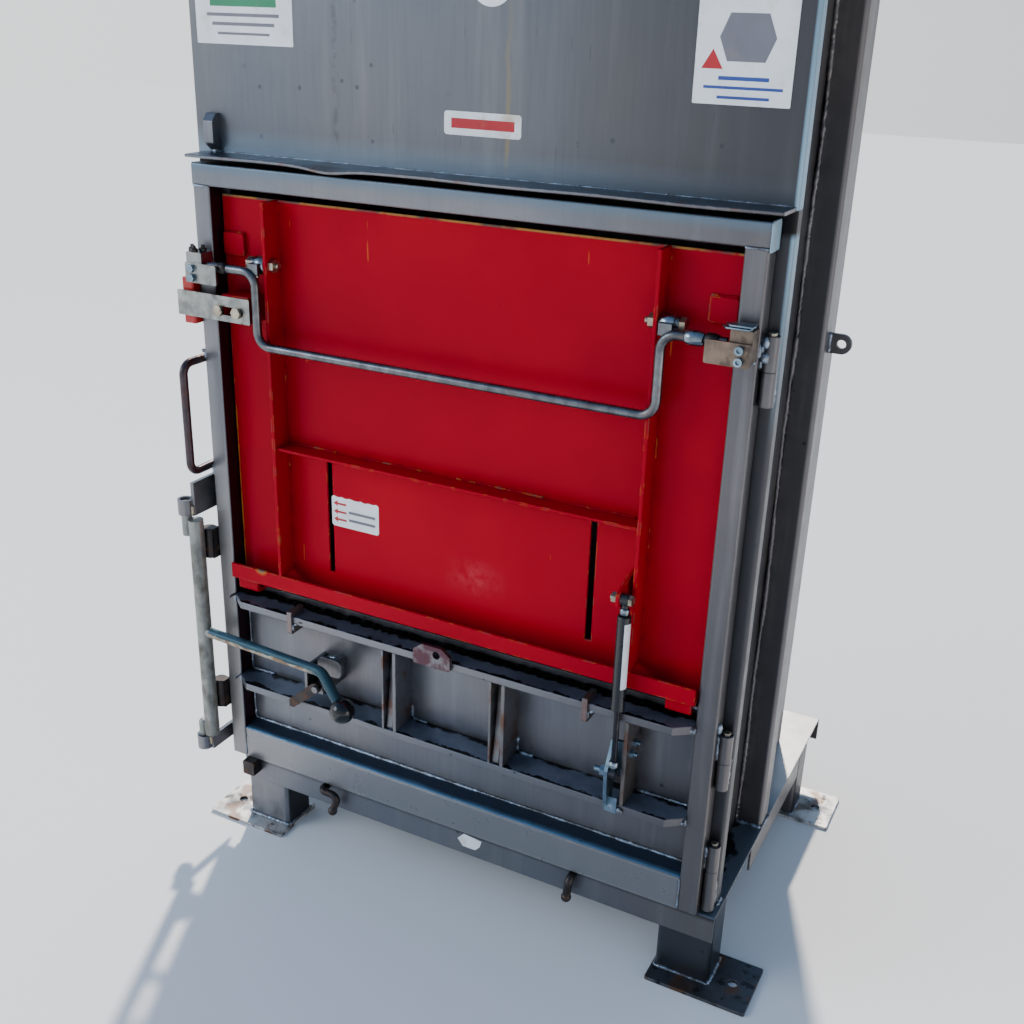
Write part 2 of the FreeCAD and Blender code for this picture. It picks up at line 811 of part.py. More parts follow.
motor_foot_front = size("motor_foot_front", 15)
motor_foot_back = size("motor_foot_back", 5)
motor_neck = size("motor_neck", 26)
motor_step = size("motor_step", 14)
fin_height = size("motor_fin_height", 5)
fin_thick = size("motor_fin_thickness", 4)
fin_first = size("motor_fin_first", 11)
fin_pitch = size("motor_fin_pitch", 19)
fin_count = 8
valve_gap = size("valve_gap", 2)
valve_width = size("valve_width", 52)
valve_clearance = size("valve_to_flange", 17)
valve_depth = size("valve_depth", 90)
valve_height = size("valve_height", 80)
valve_corner = size("valve_corner", 3)

press_x = (wall_right - base_half) / 2
press_y = (wall_front + wall_back) / 2 - press_setback
deck = top_height + top_plate
press_low = top_height - press_drop
press_high = deck + press_rise
platen_high = press_low - platen_drop
platen_low = platen_high - platen_height
tank_left = -base_half + tank_inset
valve_right = press_x - flange_radius - valve_clearance
valve_left = valve_right - valve_width
tank_right = valve_left - valve_gap
pipe_x = valve_right - pipe_inset

# control box
control_width = size("control_width", 150)
control_height = size("control_height", 190)
control_drop = size("control_drop", 270)
control_depth = size("control_depth", 75)
control_round = size("control_round", 6)
button_radius = size("button_radius", 11)
button_fit = size("button_fit", 0.4)
button_stroke = size("button_stroke", 5)
button_stand = size("button_stand", 6)
button_side = size("button_side", 32)
button_rise = size("button_rise", 135)
button_root = size("button_root", 14)
button_round = size("button_round", 1.5)
collar_rim = size("button_collar_rim", 4)
collar_thick = size("button_collar_thickness", 3)
stop_radius = size("stop_radius", 20)
stop_rise = size("stop_rise", 55)
stop_stem = size("stop_stem_radius", 9)
stop_disc = size("stop_disc_radius", 30)
stop_head = size("stop_head_height", 16)
stop_round = size("stop_head_round", 5)
stop_gap = size("stop_gap", 2)
hole_depth = size("button_hole_depth", 31)

control_right = wall_right
control_low = top_height - control_drop


def build_base():
    """Four tube legs on foot plates and the folded base pan that they carry."""
    legs = []
    for side, end in ((-1, -1), (1, -1), (-1, 1), (1, 1)):
        hole_x = side * hole_half_x
        outer = hole_x + side * foot_edge
        inner = outer - side * foot_width
        foot_x = (inner, outer) if side > 0 else (outer, inner)
        hole_y = end * hole_half_y
        foot = box(foot_x, (hole_y - foot_depth / 2, hole_y + foot_depth / 2), (0 * foot_thick, foot_thick))
        foot = rounded(foot, foot_corner, along("z"))
        foot = cut(foot, cylinder(hole_x, hole_y, -foot_thick, hole_radius, 3 * foot_thick))
        edge = side * base_half
        leg_x = (edge - leg_width, edge) if side > 0 else (edge, edge + leg_width)
        leg_y = (leg_front, leg_front + leg_depth) if end < 0 else (leg_rear, leg_rear + leg_depth)
        outside = rounded(box(leg_x, leg_y, (foot_thick, skin_top)), leg_corner, along("z"))
        inside = box(
            (leg_x[0] + leg_wall, leg_x[1] - leg_wall), (leg_y[0] + leg_wall, leg_y[1] - leg_wall),
            (foot_thick, skin_top + over))
        legs.append(fuse(foot, cut(outside, rounded(inside, leg_corner - leg_wall, along("z")))))
    group("legs", legs)
    low = base_top - base_skirt
    outer = box((-base_half, base_half), (base_front, base_back), (low, base_top))
    outer = rounded(outer, pan_corner, along("x", {"z": base_top}))
    hollow = box(
        (-base_half - over, base_half + over), (leg_front, base_back - sheet_thick), (low - over, skin_top))
    pan = cut(outer, hollow)
    skirts = [
        box((edge, edge + sheet_thick), (base_front + skirt_setback, leg_rear), (low, skin_top))
        for edge in (-base_half, base_half - sheet_thick)
    ]
    node("base_pan", fuse(pan, *skirts))


def build_cabinet():
    """Chamber walls, the folded front sheet with the door mouth, the column and the top plate."""
    node("side_wall_left", box(
        (-base_half, -base_half + wall_thick), (wall_front, wall_back), (base_top, top_height)))
    node("side_wall_right", box(
        (wall_right - wall_thick, wall_right), (wall_front, wall_back), (base_top, top_height)))
    node("rear_wall", box(
        (-base_half + wall_thick, wall_right - wall_thick), (wall_back - wall_thick, wall_back),
        (base_top, top_height)))
    front = box((front_left, front_right), (front_face, front_face + front_lip), (base_top, top_height))
    front = rounded(front, front_corner, along("z", {"y": front_face}))
    hollow = box(
        (front_left + sheet_thick, front_right - sheet_thick), (wall_front, front_face + front_lip + over),
        (base_top - over, top_height + over))
    hollow = rounded(hollow, front_corner - sheet_thick, along("z", {"y": wall_front}))
    mouth = box(
        (mouth_left, mouth_right), (front_face - over, wall_front + over), (base_top - over, mouth_top))
    mouth = rounded(mouth, mouth_corner, along("y", {"z": mouth_top}))
    node("front_sheet", cut(front, hollow, mouth))
    drip_x = (front_left + drip_left_gap, front_right - drip_right_gap)
    drip_y = front_face - drip_depth
    drip = prism(
        "xy",
        [(drip_x[0], front_face), (drip_x[1], front_face), (drip_x[1], drip_y), (drip_x[0], drip_y)],
        drip_top - drip_thick, drip_thick)
    drip = rounded(drip, drip_corner, along("z", {"y": drip_y}))
    node("drip_lip", rounded(drip, drip_round, along("x", {"y": drip_y})))
    column_x = (wall_right, wall_right + column_side)
    column_y = (column_front, column_front + column_side)
    node("side_column", square_tube(
        column_x, column_y, (base_top, top_height), "z", column_wall, column_corner))
    lug_x = column_x[1]
    lug_y = column_y[1] - lug_inset
    lug_z = bail_z - eye_lug_drop
    lug = fuse(
        box((lug_x, lug_x + lug_reach), (lug_y - lug_thick, lug_y), (lug_z - lug_radius, lug_z + lug_radius)),
        cylinder(lug_x + lug_reach, lug_y - lug_thick, lug_z, lug_radius, lug_thick, "y"))
    node("eye_lug", cut(lug, cylinder(
        lug_x + lug_reach, lug_y - 2 * lug_thick, lug_z, eye_hole, 3 * lug_thick, "y")))
    plate = box((-base_half, column_x[1]), (front_face, wall_back), (top_height, deck))
    plate = rounded(plate, plate_corner, along("z"))
    pipe_hole = cylinder(
        pipe_x, press_y, top_height - over, pipe_radius + pipe_clear, top_plate + 2 * over)
    tube_hole = cylinder(
        press_x, press_y, top_height - over, press_radius + press_fit, top_plate + 2 * over)
    node("top_plate", cut(plate, pipe_hole, tube_hole))
    hook_x = front_left + hook_left_gap
    hook_y = front_face - hook_depth
    hook_top = drip_top + hook_height
    hook = prism(
        "yz",
        [
            (front_face, drip_top), (front_face, hook_top), (front_face - hook_depth / 2, hook_top),
            (hook_y, hook_top - hook_slope), (hook_y, drip_top + hook_heel),
        ],
        hook_x, hook_width)
    node("panel_lug", rounded(hook, hook_corner, along("x")))
    guides = []
    guide_back = wall_back - wall_thick
    for side in (-1, 1):
        x = press_x + side * guide_span
        guides.append(box(
            (x - guide_width / 2, x + guide_width / 2), (guide_back - guide_depth, guide_back),
            (platen_low - guide_drop, top_height)))
    group("platen_guides", guides)


def build_hinges():
    """Three lift-off hinges: the lower knuckle and pin on the cabinet, the upper knuckle on the door."""
    frames = []
    pins = []
    doors = []
    for joint, low in hinge_joints:
        bottom = joint - hinge_gap - low
        knuckle = cylinder(hinge_x, hinge_y, bottom, hinge_radius, low)
        web = box(
            (hinge_x - hinge_web / 2, hinge_x + hinge_web / 2), (hinge_y, front_face), (bottom, bottom + low))
        hole = cylinder(hinge_x, hinge_y, bottom - over, hinge_pin, low + 2 * over)
        frames.append(cut(fuse(knuckle, web), hole))
        pin_top = joint + hinge_length + pin_rise
        pin = cylinder(hinge_x, hinge_y, bottom, hinge_pin, pin_top - bottom)
        pins.append(rounded(pin, pin_round, lambda edge, top=pin_top: abs(
            edge.CenterOfMass.z - plain(top)) < 0.01 and edge.Closed))
        knuckle = cylinder(hinge_x, hinge_y, joint, hinge_radius, hinge_length)
        web = box(
            (leaf_right, hinge_x), (hinge_y - hinge_web / 2, hinge_y + hinge_web / 2),
            (joint, joint + hinge_length))
        hole = cylinder(hinge_x, hinge_y, joint - over, hinge_pin + hinge_fit, hinge_length + 2 * over)
        doors.append(cut(fuse(knuckle, web), hole))
    group("hinge_knuckles_frame", frames)
    group("hinge_pins", pins)
    group("hinge_knuckles_door", doors)


def build_door():
    """The door leaf: a tube frame and the recessed lower panel."""
    stile_z = (leaf_low, leaf_high - rail_height)
    for name, x in (("door_stile_left", (leaf_left, opening_left)), ("door_stile_right", (
            opening_right, leaf_right))):
        node(name, square_tube(x, (leaf_front, leaf_back), stile_z, "z", frame_wall, frame_round))
    node("door_top_rail", square_tube(
        (leaf_left, leaf_right), (leaf_front, leaf_back), (leaf_high - rail_height, leaf_high),
        "x", frame_wall, frame_round))
    rail_top = leaf_low + bottom_rail
    ledge_top = rail_top + bottom_slope
    outer = prism(
        "yz",
        [
            (leaf_front, leaf_low), (leaf_back, leaf_low), (leaf_back, ledge_top),
            (leaf_back - bottom_ledge, ledge_top), (leaf_front, rail_top),
        ],
        opening_left, opening_right - opening_left)
    inner = prism(
        "yz",
        [
            (leaf_front + frame_wall, leaf_low + frame_wall), (leaf_back - frame_wall, leaf_low + frame_wall),
            (leaf_back - frame_wall, ledge_top - frame_wall),
            (leaf_back - bottom_ledge, ledge_top - frame_wall),
            (leaf_front + frame_wall, rail_top - frame_wall),
        ],
        opening_left - over, opening_right - opening_left + 2 * over)
    outer = rounded(outer, bottom_round, along("x", {"y": leaf_front, "z": rail_top}))
    node("door_bottom_rail", cut(outer, inner))
    panel = box((opening_left, opening_right), (panel_face, leaf_back), (ledge_top, panel_top))
    build_lower_door(panel)
    build_shelves()


def build_lower_door(panel):
    """The two strap channels of the lower panel: its slots, their side bars and sloping strips."""
    slots = []
    bars = []
    bar_y = (shelf_front, panel_face)
    bar_z = (middle_top, shelf_top - shelf_thick)
    for index in range(2):
        x = leaf_middle - strap_offset + index * strap_pitch
        slots.append(box(
            (x - strap_slot, x), (panel_face - over, leaf_back + over),
            (bar_z[0] + strap_margin, bar_z[1] - strap_margin)))
        bars.append(box((x, x + strap_bar), bar_y, bar_z))
        bars.append(box((x - strap_slot - strap_wall, x - strap_slot), bar_y, bar_z))
        strip_y = leaf_front - strip_front
        bars.append(prism(
            "yz",
            [
                (strip_y, bar_z[0]), (strip_y + strip_thick, bar_z[0]),
                (strip_y + strip_thick + strip_run, bar_z[1]), (strip_y + strip_run, bar_z[1]),
            ],
            x - strap_slot + strap_margin, strip_width))
    bars.append(box((strut_rib, strut_rib + strap_bar), bar_y, bar_z))
    node("lower_panel", cut(panel, *slots))
    group("strap_guides", bars)


def build_shelves():
    """The two shelves of the lower door, with the tabs and the lug of the upper one."""
    for name, top in (("top_shelf", shelf_top), ("middle_shelf", middle_top)):
        shelf = prism(
            "xy",
            [
                (opening_left, leaf_front), (opening_left + shelf_chamfer, shelf_front),
                (opening_right - shelf_chamfer, shelf_front), (opening_right, leaf_front),
                (opening_right, panel_face), (opening_left, panel_face),
            ],
            top - shelf_thick, shelf_thick)
        shelf = rounded(shelf, shelf_round, along("x", {"y": shelf_front}))
        if name == "top_shelf":
            notches = [
                box((x - tab_fit, x + tab_thick + tab_fit), (shelf_front - over, leaf_front + tab_depth),
                    (top - shelf_thick - over, top + over))
                for x in (leaf_left + tab_left_inset, leaf_right - tab_right_inset)
            ]
            shelf = cut(shelf, *notches)
        node(name, shelf)
    tabs = []
    tab_top = shelf_top + tab_rise
    for x in (leaf_left + tab_left_inset, leaf_right - tab_right_inset):
        tab = box(
            (x, x + tab_thick), (shelf_front - tab_reach, leaf_front + tab_depth),
            (tab_top - tab_height, tab_top))
        tabs.append(rounded(tab, tab_round, along("x", {"y": shelf_front - tab_reach})))
    lug_left = leaf_middle - shelf_lug_offset
    lug_right = lug_left + shelf_lug_width
    lug_low = shelf_top - shelf_thick
    lug_high = shelf_top + shelf_lug_rise
    lug = prism(
        "xz",
        [
            (lug_left, lug_low), (lug_right, lug_low), (lug_right, lug_high - shelf_lug_bevel),
            (lug_right - shelf_lug_side, lug_high), (lug_left + shelf_lug_side, lug_high),
            (lug_left, lug_high - shelf_lug_bevel),
        ],
        shelf_front - shelf_lug_thick, shelf_lug_thick)
    lug = rounded(lug, shelf_lug_round, along("y"))
    tabs.append(cut(lug, cylinder(
        lug_right - shelf_hole_inset, shelf_front - shelf_lug_thick - over, shelf_top + shelf_hole_rise,
        shelf_hole, shelf_lug_thick + 2 * over, "y")))
    group("shelf_tabs", tabs)


def build_door_fittings():
    """Lock rollers, keepers, the pull handle, the strut gusset and the lever catch."""
    roller_x = leaf_left - roller_radius - roller_clear
    reach = roller_radius + lock_shaft + roller_touch
    step = lock_x + lock_throw - roller_x
    roller_y = Size(
        math.sqrt(plain(reach) ** 2 - plain(step) ** 2) + plain(lock_y),
        "(sqrt(" + reach.text + "^2 - " + step.text + "^2) + " + lock_y.text + ")")
    rollers = []
    for low in (lock_high - roller_high_drop, lock_low + roller_low_rise):
        roller = cylinder(roller_x, roller_y, low, roller_radius, roller_length)
        web = box(
            (leaf_left - roller_web, leaf_left), (roller_y - roller_web, roller_y + roller_web_back),
            (low, low + roller_length))
        rollers.append(fuse(rounded(roller, roller_round, ends), web))
    group("lock_rollers", rollers)
    plate_front = leaf_front - keeper_stand - keeper_thick
    screws = []
    for name, side in (("keeper_left", -1), ("keeper_right", 1)):
        if side < 0:
            stile = (leaf_left, opening_left)
            inner = opening_left + keeper_overhang
            plate_x = (inner - keeper_width, inner)
        else:
            stile = (opening_right, leaf_right)
            inner = opening_right - keeper_overhang
            plate_x = (inner, inner + keeper_width)
        plate = box(
            plate_x, (plate_front, plate_front + keeper_thick), (keeper_low, keeper_low + keeper_height))
        block = box(
            (stile[0] + keeper_block_inset, stile[1] - keeper_block_inset),
            (plate_front + keeper_thick, leaf_front),
            (keeper_low + keeper_block_low, keeper_low + keeper_height + keeper_block_rise))
        bracket = fuse(rounded(plate, keeper_round, along("y")), rounded(block, keeper_round, along("y")))
        x = stile[0] + stile_width / 2 + side * screw_side
        depth = keeper_stand + keeper_thick
        holes = [
            cylinder(x, plate_front - over, keeper_low + rise, screw_hole, depth + 2 * over, "y")
            for rise in keeper_steps
        ]
        node(name, cut(bracket, *holes))
        for rise in keeper_steps:
            z = keeper_low + rise
            shank = cylinder(x, plate_front, z, screw_radius, depth, "y")
            if side < 0:
                head = hexagon(x, plate_front - screw_head, z, screw_across, screw_head, "y")
            else:
                head = cylinder(x, plate_front - socket_head, z, socket_radius, socket_head, "y")
                head = cut(head, hexagon(
                    x, plate_front - socket_head - over, z, socket_across, socket_depth + over, "y"))
            screws.append(fuse(shank, head))
    pull_x = leaf_left - pull_radius
    pull_y = (leaf_front + pull_depth, leaf_front - pull_stand)
    pull_high = flag_low - pull_high_gap
    pull_low = lock_high + pull_low_gap
    node("pull_handle", rod(
        [
            (pull_x, pull_y[0], pull_high), (pull_x, pull_y[1], pull_high),
            (pull_x, pull_y[1], pull_low), (pull_x, pull_y[0], pull_low),
        ],
        pull_radius, pull_bend))
    group("door_fasteners", screws + build_strut_bracket())
    build_catch()


def build_strut_bracket():
    """The folded bracket of the strut's lower eye, on the rib beside it. Returns its nuts."""
    face = strut_x - eye_width / 2 - eye_gap
    left = face - bracket_thick
    back = strut_y + eye_radius + gusset_gap
    nose = strut_y - gusset_nose
    chin = strut_y - gusset_chin
    top = strut_low + gusset_top
    plate = prism(
        "yz",
        [
            (back + bracket_thick, top - gusset_slope), (back, top), (chin, strut_low + gusset_shoulder),
            (nose, strut_low + gusset_chin), (nose, strut_low - gusset_nose), (chin, middle_top),
            (back + bracket_thick, middle_top),
        ],
        left, bracket_thick)
    web = box((left, strut_rib), (back, back + bracket_thick), (strut_low - gusset_nose, top))
    flange = box(
        (strut_rib - bracket_thick, strut_rib), (back, back + gusset_depth), (strut_low + gusset_shoulder, top))
    foot = box(
        (left, face + gusset_shoulder), (shelf_front - gusset_foot, shelf_front),
        (middle_top - shelf_thick, middle_top + gusset_shoulder))
    node("strut_gusset", fuse(plate, web, flange, foot))
    nuts = []
    rib_face = strut_rib + strap_bar
    for step in range(2):
        y = back + stud_back + step * stud_step_y
        z = top - stud_drop + step * stud_step_z
        nuts.append(fuse(
            hexagon(rib_face, y, z, nut_across, nut_height, "x"),
            cylinder(rib_face, y, z, stud_radius, stud_thread + over, "x")))
    nuts.append(fuse(
        hexagon(left - strut_head, strut_y, strut_low, strut_across, strut_head, "x"),
        cylinder(
            left - strut_head - stud_thread, strut_y, strut_low, strut_bolt, strut_head + stud_thread, "x")))
    return nuts


def build_catch():
    """The rest behind the closed lever, and the release pawl that pivots below it."""
    floor_low = pawl_z - catch_floor - catch_thick
    upright = box((catch_x, catch_x + catch_thick), (catch_front, panel_face), (floor_low, catch_top))
    upright = rounded(upright, catch_round, along("x", {"y": catch_front}))
    floor = box(
        (catch_x, pawl_x + catch_lap), (catch_front, panel_face), (floor_low, floor_low + catch_floor))
    boss = cylinder(pawl_x, catch_front, pawl_z, catch_boss, panel_face - catch_front, "y")
    pin = cylinder(pawl_x, catch_front - pawl_thick - over, pawl_z, pawl_pin, pawl_thick + over, "y")
    nut = hexagon(
        pawl_x, catch_front - pawl_thick - over - pawl_nut, pawl_z, pawl_nut_across, pawl_nut, "y")
    inset = catch_front + catch_inset
    web_x = pawl_x + catch_web_gap
    web = box(
        (web_x, web_x + catch_web), (inset, panel_face), (pawl_z - catch_thick, lever_height - catch_web_drop))
    hook = box(
        (pawl_x - hook_back, pawl_x + hook_run), (inset, inset + hook_thick),
        (lever_height - hook_low, lever_height + hook_high))
    node("lever_catch", fuse(upright, floor, boss, pin, nut, web, rounded(hook, hook_round, along("y"))))
    front = catch_front - pawl_play - pawl_thick
    tip_x = pawl_x - pawl_length
    tip_z = pawl_z - pawl_low
    tongue = prism(
        "xz",
        [
            (pawl_x + pawl_heel - pawl_bevel, pawl_z + pawl_bevel), (pawl_x, pawl_z + pawl_heel),
            (pawl_x - pawl_heel, pawl_z + pawl_heel - pawl_bevel), (tip_x, tip_z + pawl_tip), (tip_x, tip_z),
            (tip_x + pawl_heel, tip_z), (pawl_x + pawl_bevel, pawl_z - pawl_heel + pawl_bevel / 2),
        ],
        front, pawl_thick)
    node("catch_pawl", cut(tongue, cylinder(
        pawl_x, front - over, pawl_z, pawl_pin + hinge_fit, pawl_thick + 2 * over, "y")))


def build_lock():
    """The crank lock: two bearings on the cabinet, the eccentric shaft with its lever and ball."""
    bearings = []
    plate_x = (front_left - lock_plate, front_left)
    plate_back = front_face + front_lip - lock_plate_inset
    upper = lock_high + lock_end + lock_gap
    lower = lock_low - lock_end - lock_gap - barrel_length
    for low, tall in ((upper, lock_plate_high), (lower, barrel_length)):
        tube = cylinder(lock_x, lock_y, low, lock_barrel, barrel_length)
        plate = rounded(
            box(plate_x, (lock_y, plate_back), (low, low + tall)), lock_plate_round,
            along("x", {"y": plate_back}))
        bearings.append(cut(fuse(tube, plate), cylinder(
            lock_x, lock_y, low - over, lock_pin + hinge_fit, barrel_length + 2 * over)))
    group("lock_bearings", bearings)
    shaft_low = lock_low - lock_end
    shaft_high = lock_high + lock_end
    parts = [cylinder(lock_x + lock_throw, lock_y, shaft_low, lock_shaft, shaft_high - shaft_low)]
    pin_low = shaft_high - lock_pin_high
    pin_high = upper + barrel_length - lock_pin_sink
    parts.append(cylinder(lock_x, lock_y, pin_low, lock_pin, pin_high - pin_low))
    pin_low = lower + lock_pin_sink
    pin_high = shaft_low + lock_pin_low
    parts.append(rounded(
        cylinder(lock_x, lock_y, pin_low, lock_pin, pin_high - pin_low), lock_pin_dome,
        lambda edge: ends(edge) and edge.CenterOfMass.z > plain(shaft_low)))
    node("lock_shaft", fuse(*parts, rod(lever_route, lever_radius, lever_bend)))
    node("lock_knob", cut(ball(*ball_place, ball_radius), rod(lever_route, lever_radius, lever_bend)))


def build_flap():
    """The red feed flap: a sheet with two uprights, a cross rib, a bottom angle and its pivots."""
    panel = box((flap_left, flap_right), (flap_face, flap_face + flap_sheet), (flap_low, flap_high))
    slots = [
        box((x - slot_width / 2, x + slot_width / 2), (flap_face - over, flap_face + flap_sheet + over),
            (flap_low + slot_rise, flap_low + slot_rise + slot_height))
        for x in (leaf_left + slot_inset, leaf_right - slot_inset)
    ]
    pads = []
    for low in (flap_left + pad_inset, flap_right - pad_inset - pad_side):
        pad = box(
            (low, low + pad_side), (flap_face - pad_thick, flap_face),
            (bail_z + pad_rise, bail_z + pad_rise + pad_height))
        pads.append(rounded(pad, pad_round, along("y")))
    node("flap_panel", fuse(cut(panel, *slots), *pads))
    angle_top = flap_low + angle_height
    ribs = []
    for x in (rib_left, rib_right):
        rib = box((x - rib_half, x + rib_half), (flap_front, flap_face), (angle_top, flap_high))
        ribs.append(cut(rib, cylinder(
            x - rib_half - over, bail_y, bail_z, bolt_radius + bolt_play, rib_thick + 2 * over, "x")))
    ribs.append(box(
        (rib_left + rib_half, rib_right - rib_half), (flap_front + cross_setback, flap_face),
        (cross_top - cross_thick, cross_top)))
    group("flap_ribs", ribs)
    angle = prism(
        "yz",
        [
            (flap_front, flap_low), (flap_face, flap_low), (flap_face, flap_low + angle_thick),
            (flap_front + angle_thick, flap_low + angle_thick), (flap_front + angle_thick, angle_top),
            (flap_front, angle_top),
        ],
        flap_left, flap_right - flap_left)
    node("flap_angle", rounded(angle, angle_round, along("x", {"y": flap_front, "z": flap_low})))
    blocks = []
    pins = []
    block_low = flap_low - block_height
    block_right = flap_right - block_inset - block_width
    for low, pin_low in ((flap_left + block_inset, opening_left), (
            block_right, opening_right - pin_reach - block_width)):
        block = box(
            (low, low + block_width), (pivot_y - block_depth / 2, pivot_y + block_depth / 2),
            (block_low, flap_low))
        block = rounded(block, block_round, along("x", {"z": block_low}))
        blocks.append(cut(block, cylinder(
            low - over, pivot_y, pivot_z, flap_pin + hinge_fit, block_width + 2 * over, "x")))
        pins.append(cylinder(pin_low, pivot_y, pivot_z, flap_pin, block_width + pin_reach, "x"))
    group("flap_hinge_blocks", blocks)
    group("flap_pins", pins)
    build_flag()


def build_flag():
    """The slotted flag plate of the limit switch, its stand, and the strut's upper arm."""
    slot_start = flag_left + flag_slot_start
    slot_end = flag_left + flag_slot_end
    slot_z = flag_low + flag_slot_rise
    flag = box(
        (flag_left, flag_left + flag_width), (flag_front, flag_front + flag_thick),
        (flag_low, flag_low + flag_height))
    flag = rounded(flag, flag_round, along("y"))
    depth = flag_thick + 2 * over
    slot = fuse(
        cylinder(slot_start, flag_front - over, slot_z, flag_slot, depth, "y"),
        box((slot_start, slot_end), (flag_front - over, flag_front - over + depth),
            (slot_z - flag_slot, slot_z + flag_slot)),
        cylinder(slot_end, flag_front - over, slot_z, flag_slot, depth, "y"))
    node("switch_flag", cut(flag, slot))
    stand_left = flap_left + stand_inset
    stand = square_tube(
        (stand_left, stand_left + stand_width), (flag_front + flag_thick, flap_face),
        (flag_low, flag_low + stand_height), "y", stand_wall, stand_corner)
    bracket_x = strut_x - eye_width / 2 - eye_gap
    nose = strut_y - arm_nose
    arm = prism(
        "yz",
        [
            (flap_face, strut_high - arm_drop), (flap_face, strut_high + arm_rise),
            (flap_front, strut_high + arm_slope), (nose, strut_high + eye_radius),
            (nose, strut_high - arm_nose), (strut_y + eye_radius - arm_bevel, strut_high - arm_chin),
        ],
        bracket_x - bracket_thick, bracket_thick, arm_round)
    arm = cut(arm, cylinder(
        bracket_x - bracket_thick - over, strut_y, strut_high, strut_bolt, bracket_thick + 2 * over, "x"))
    group("flap_brackets", [stand, arm])


def build_flap_bolts():
    """The bolts on the flap: two on the flag, the strut's upper bolt, and the two that the bail turns on."""
    bolts = []
    for run in (flag_bolt_first, flag_bolt_second):
        bolts.append(hexagon(
            flag_left + run, flag_front - flag_bolt_head, flag_low + flag_slot_rise, flag_bolt_across,
            flag_bolt_head, "y"))
    bracket_x = strut_x - eye_width / 2 - eye_gap
    eye_end = strut_x + eye_width / 2 + eye_gap
    head_x = bracket_x - bracket_thick - strut_head
    bolts.append(fuse(
        cylinder(
            head_x - strut_thread, strut_y, strut_high, strut_bolt, eye_end - head_x + strut_thread, "x"),
        hexagon(head_x, strut_y, strut_high, strut_across, strut_head, "x"),
        hexagon(eye_end, strut_y, strut_high, strut_across, strut_nut, "x")))
    reach = rib_half + 2 * hub_gap + hub_length
    length = reach + rib_half + bail_nut + bail_thread
    for side, x in ((-1, rib_left), (1, rib_right)):
        if side < 0:
            shank_x, head_x, nut_x = x - reach - over, x - reach - bail_head, x + rib_half
        else:
            shank_x, head_x, nut_x = x + reach + over - length, x + reach, x - rib_half - bail_nut
        bolts.append(fuse(
            cylinder(shank_x, bail_y, bail_z, bolt_radius, length, "x"),
            hexagon(head_x, bail_y, bail_z, bail_across, bail_head, "x"),
            hexagon(nut_x, bail_y, bail_z, bail_across, bail_nut, "x")))
    group("flap_bolts", bolts)


def build_bail():
    """The bail latch: one bent bar with two hubs, on bolts through the ribs."""
    bar_y = bail_y - bail_throw_y
    bar_z = bail_z - bail_throw_z
    low_z = bar_z - bail_drop
    arm_left = leaf_left + bail_arm
    arm_right = leaf_right - bail_arm
    pieces = [rod(
        [
            (opening_left + bail_tip, bar_y, bar_z), (arm_left, bar_y, bar_z), (arm_left, bar_y, low_z),
            (arm_right, bar_y, low_z), (arm_right, bar_y, bar_z), (opening_right - bail_tip, bar_y, bar_z),
        ],
        bail_radius, bail_bend)]
    for low in (rib_left - rib_half - hub_gap - hub_length, rib_right + rib_half + hub_gap):
        hub = cylinder(low, bail_y, bail_z, hub_radius, hub_length, "x")
        web = box(
            (low + hub_web_inset, low + hub_length - hub_web_inset), (bar_y, bail_y),
            (bar_z - hub_web, bail_z + hub_web))
        pieces.append(cut(fuse(hub, web), cylinder(
            low - over, bail_y, bail_z, bolt_radius + hinge_fit, hub_length + 2 * over, "x")))
    node("bail_handle", fuse(*pieces))


def build_strut():
    """The gas strut between the flap and the door: cylinder above, rod below."""
    eye_x = strut_x - eye_width / 2
    tube_top = strut_high - strut_neck
    tube_low = tube_top - strut_tube
    eye = cylinder(eye_x, strut_y, strut_high, eye_radius, eye_width, "x")
    neck = cylinder(strut_x, strut_y, tube_top - over, strut_collar, strut_neck - 3 * over)
    tube = rounded(cylinder(strut_x, strut_y, tube_low, strut_radius, strut_tube), strut_round, ends)
    node("strut_cylinder", cut(
        fuse(eye, neck, tube),
        cylinder(eye_x - over, strut_y, strut_high, strut_bolt + hinge_fit, eye_width + 2 * over, "x"),
        cylinder(strut_x, strut_y, tube_low - over, strut_rod + strut_fit, strut_tube - strut_end + over)))
    rod_top = tube_low + strut_overlap
    rod_low = strut_low + eye_radius - collar_lap
    node("strut_rod", fuse(
        cylinder(eye_x, strut_y, strut_low, eye_radius, eye_width, "x"),
        cylinder(strut_x, strut_y, rod_low, strut_rod, rod_top - rod_low),
        cylinder(strut_x, strut_y, rod_low, strut_collar, collar_length),
        cylinder(eye_x, strut_y, strut_low, strut_bolt, eye_width + over, "x"),
        hexagon(eye_x + eye_width, strut_y, strut_low, strut_across, strut_cap, "x")))


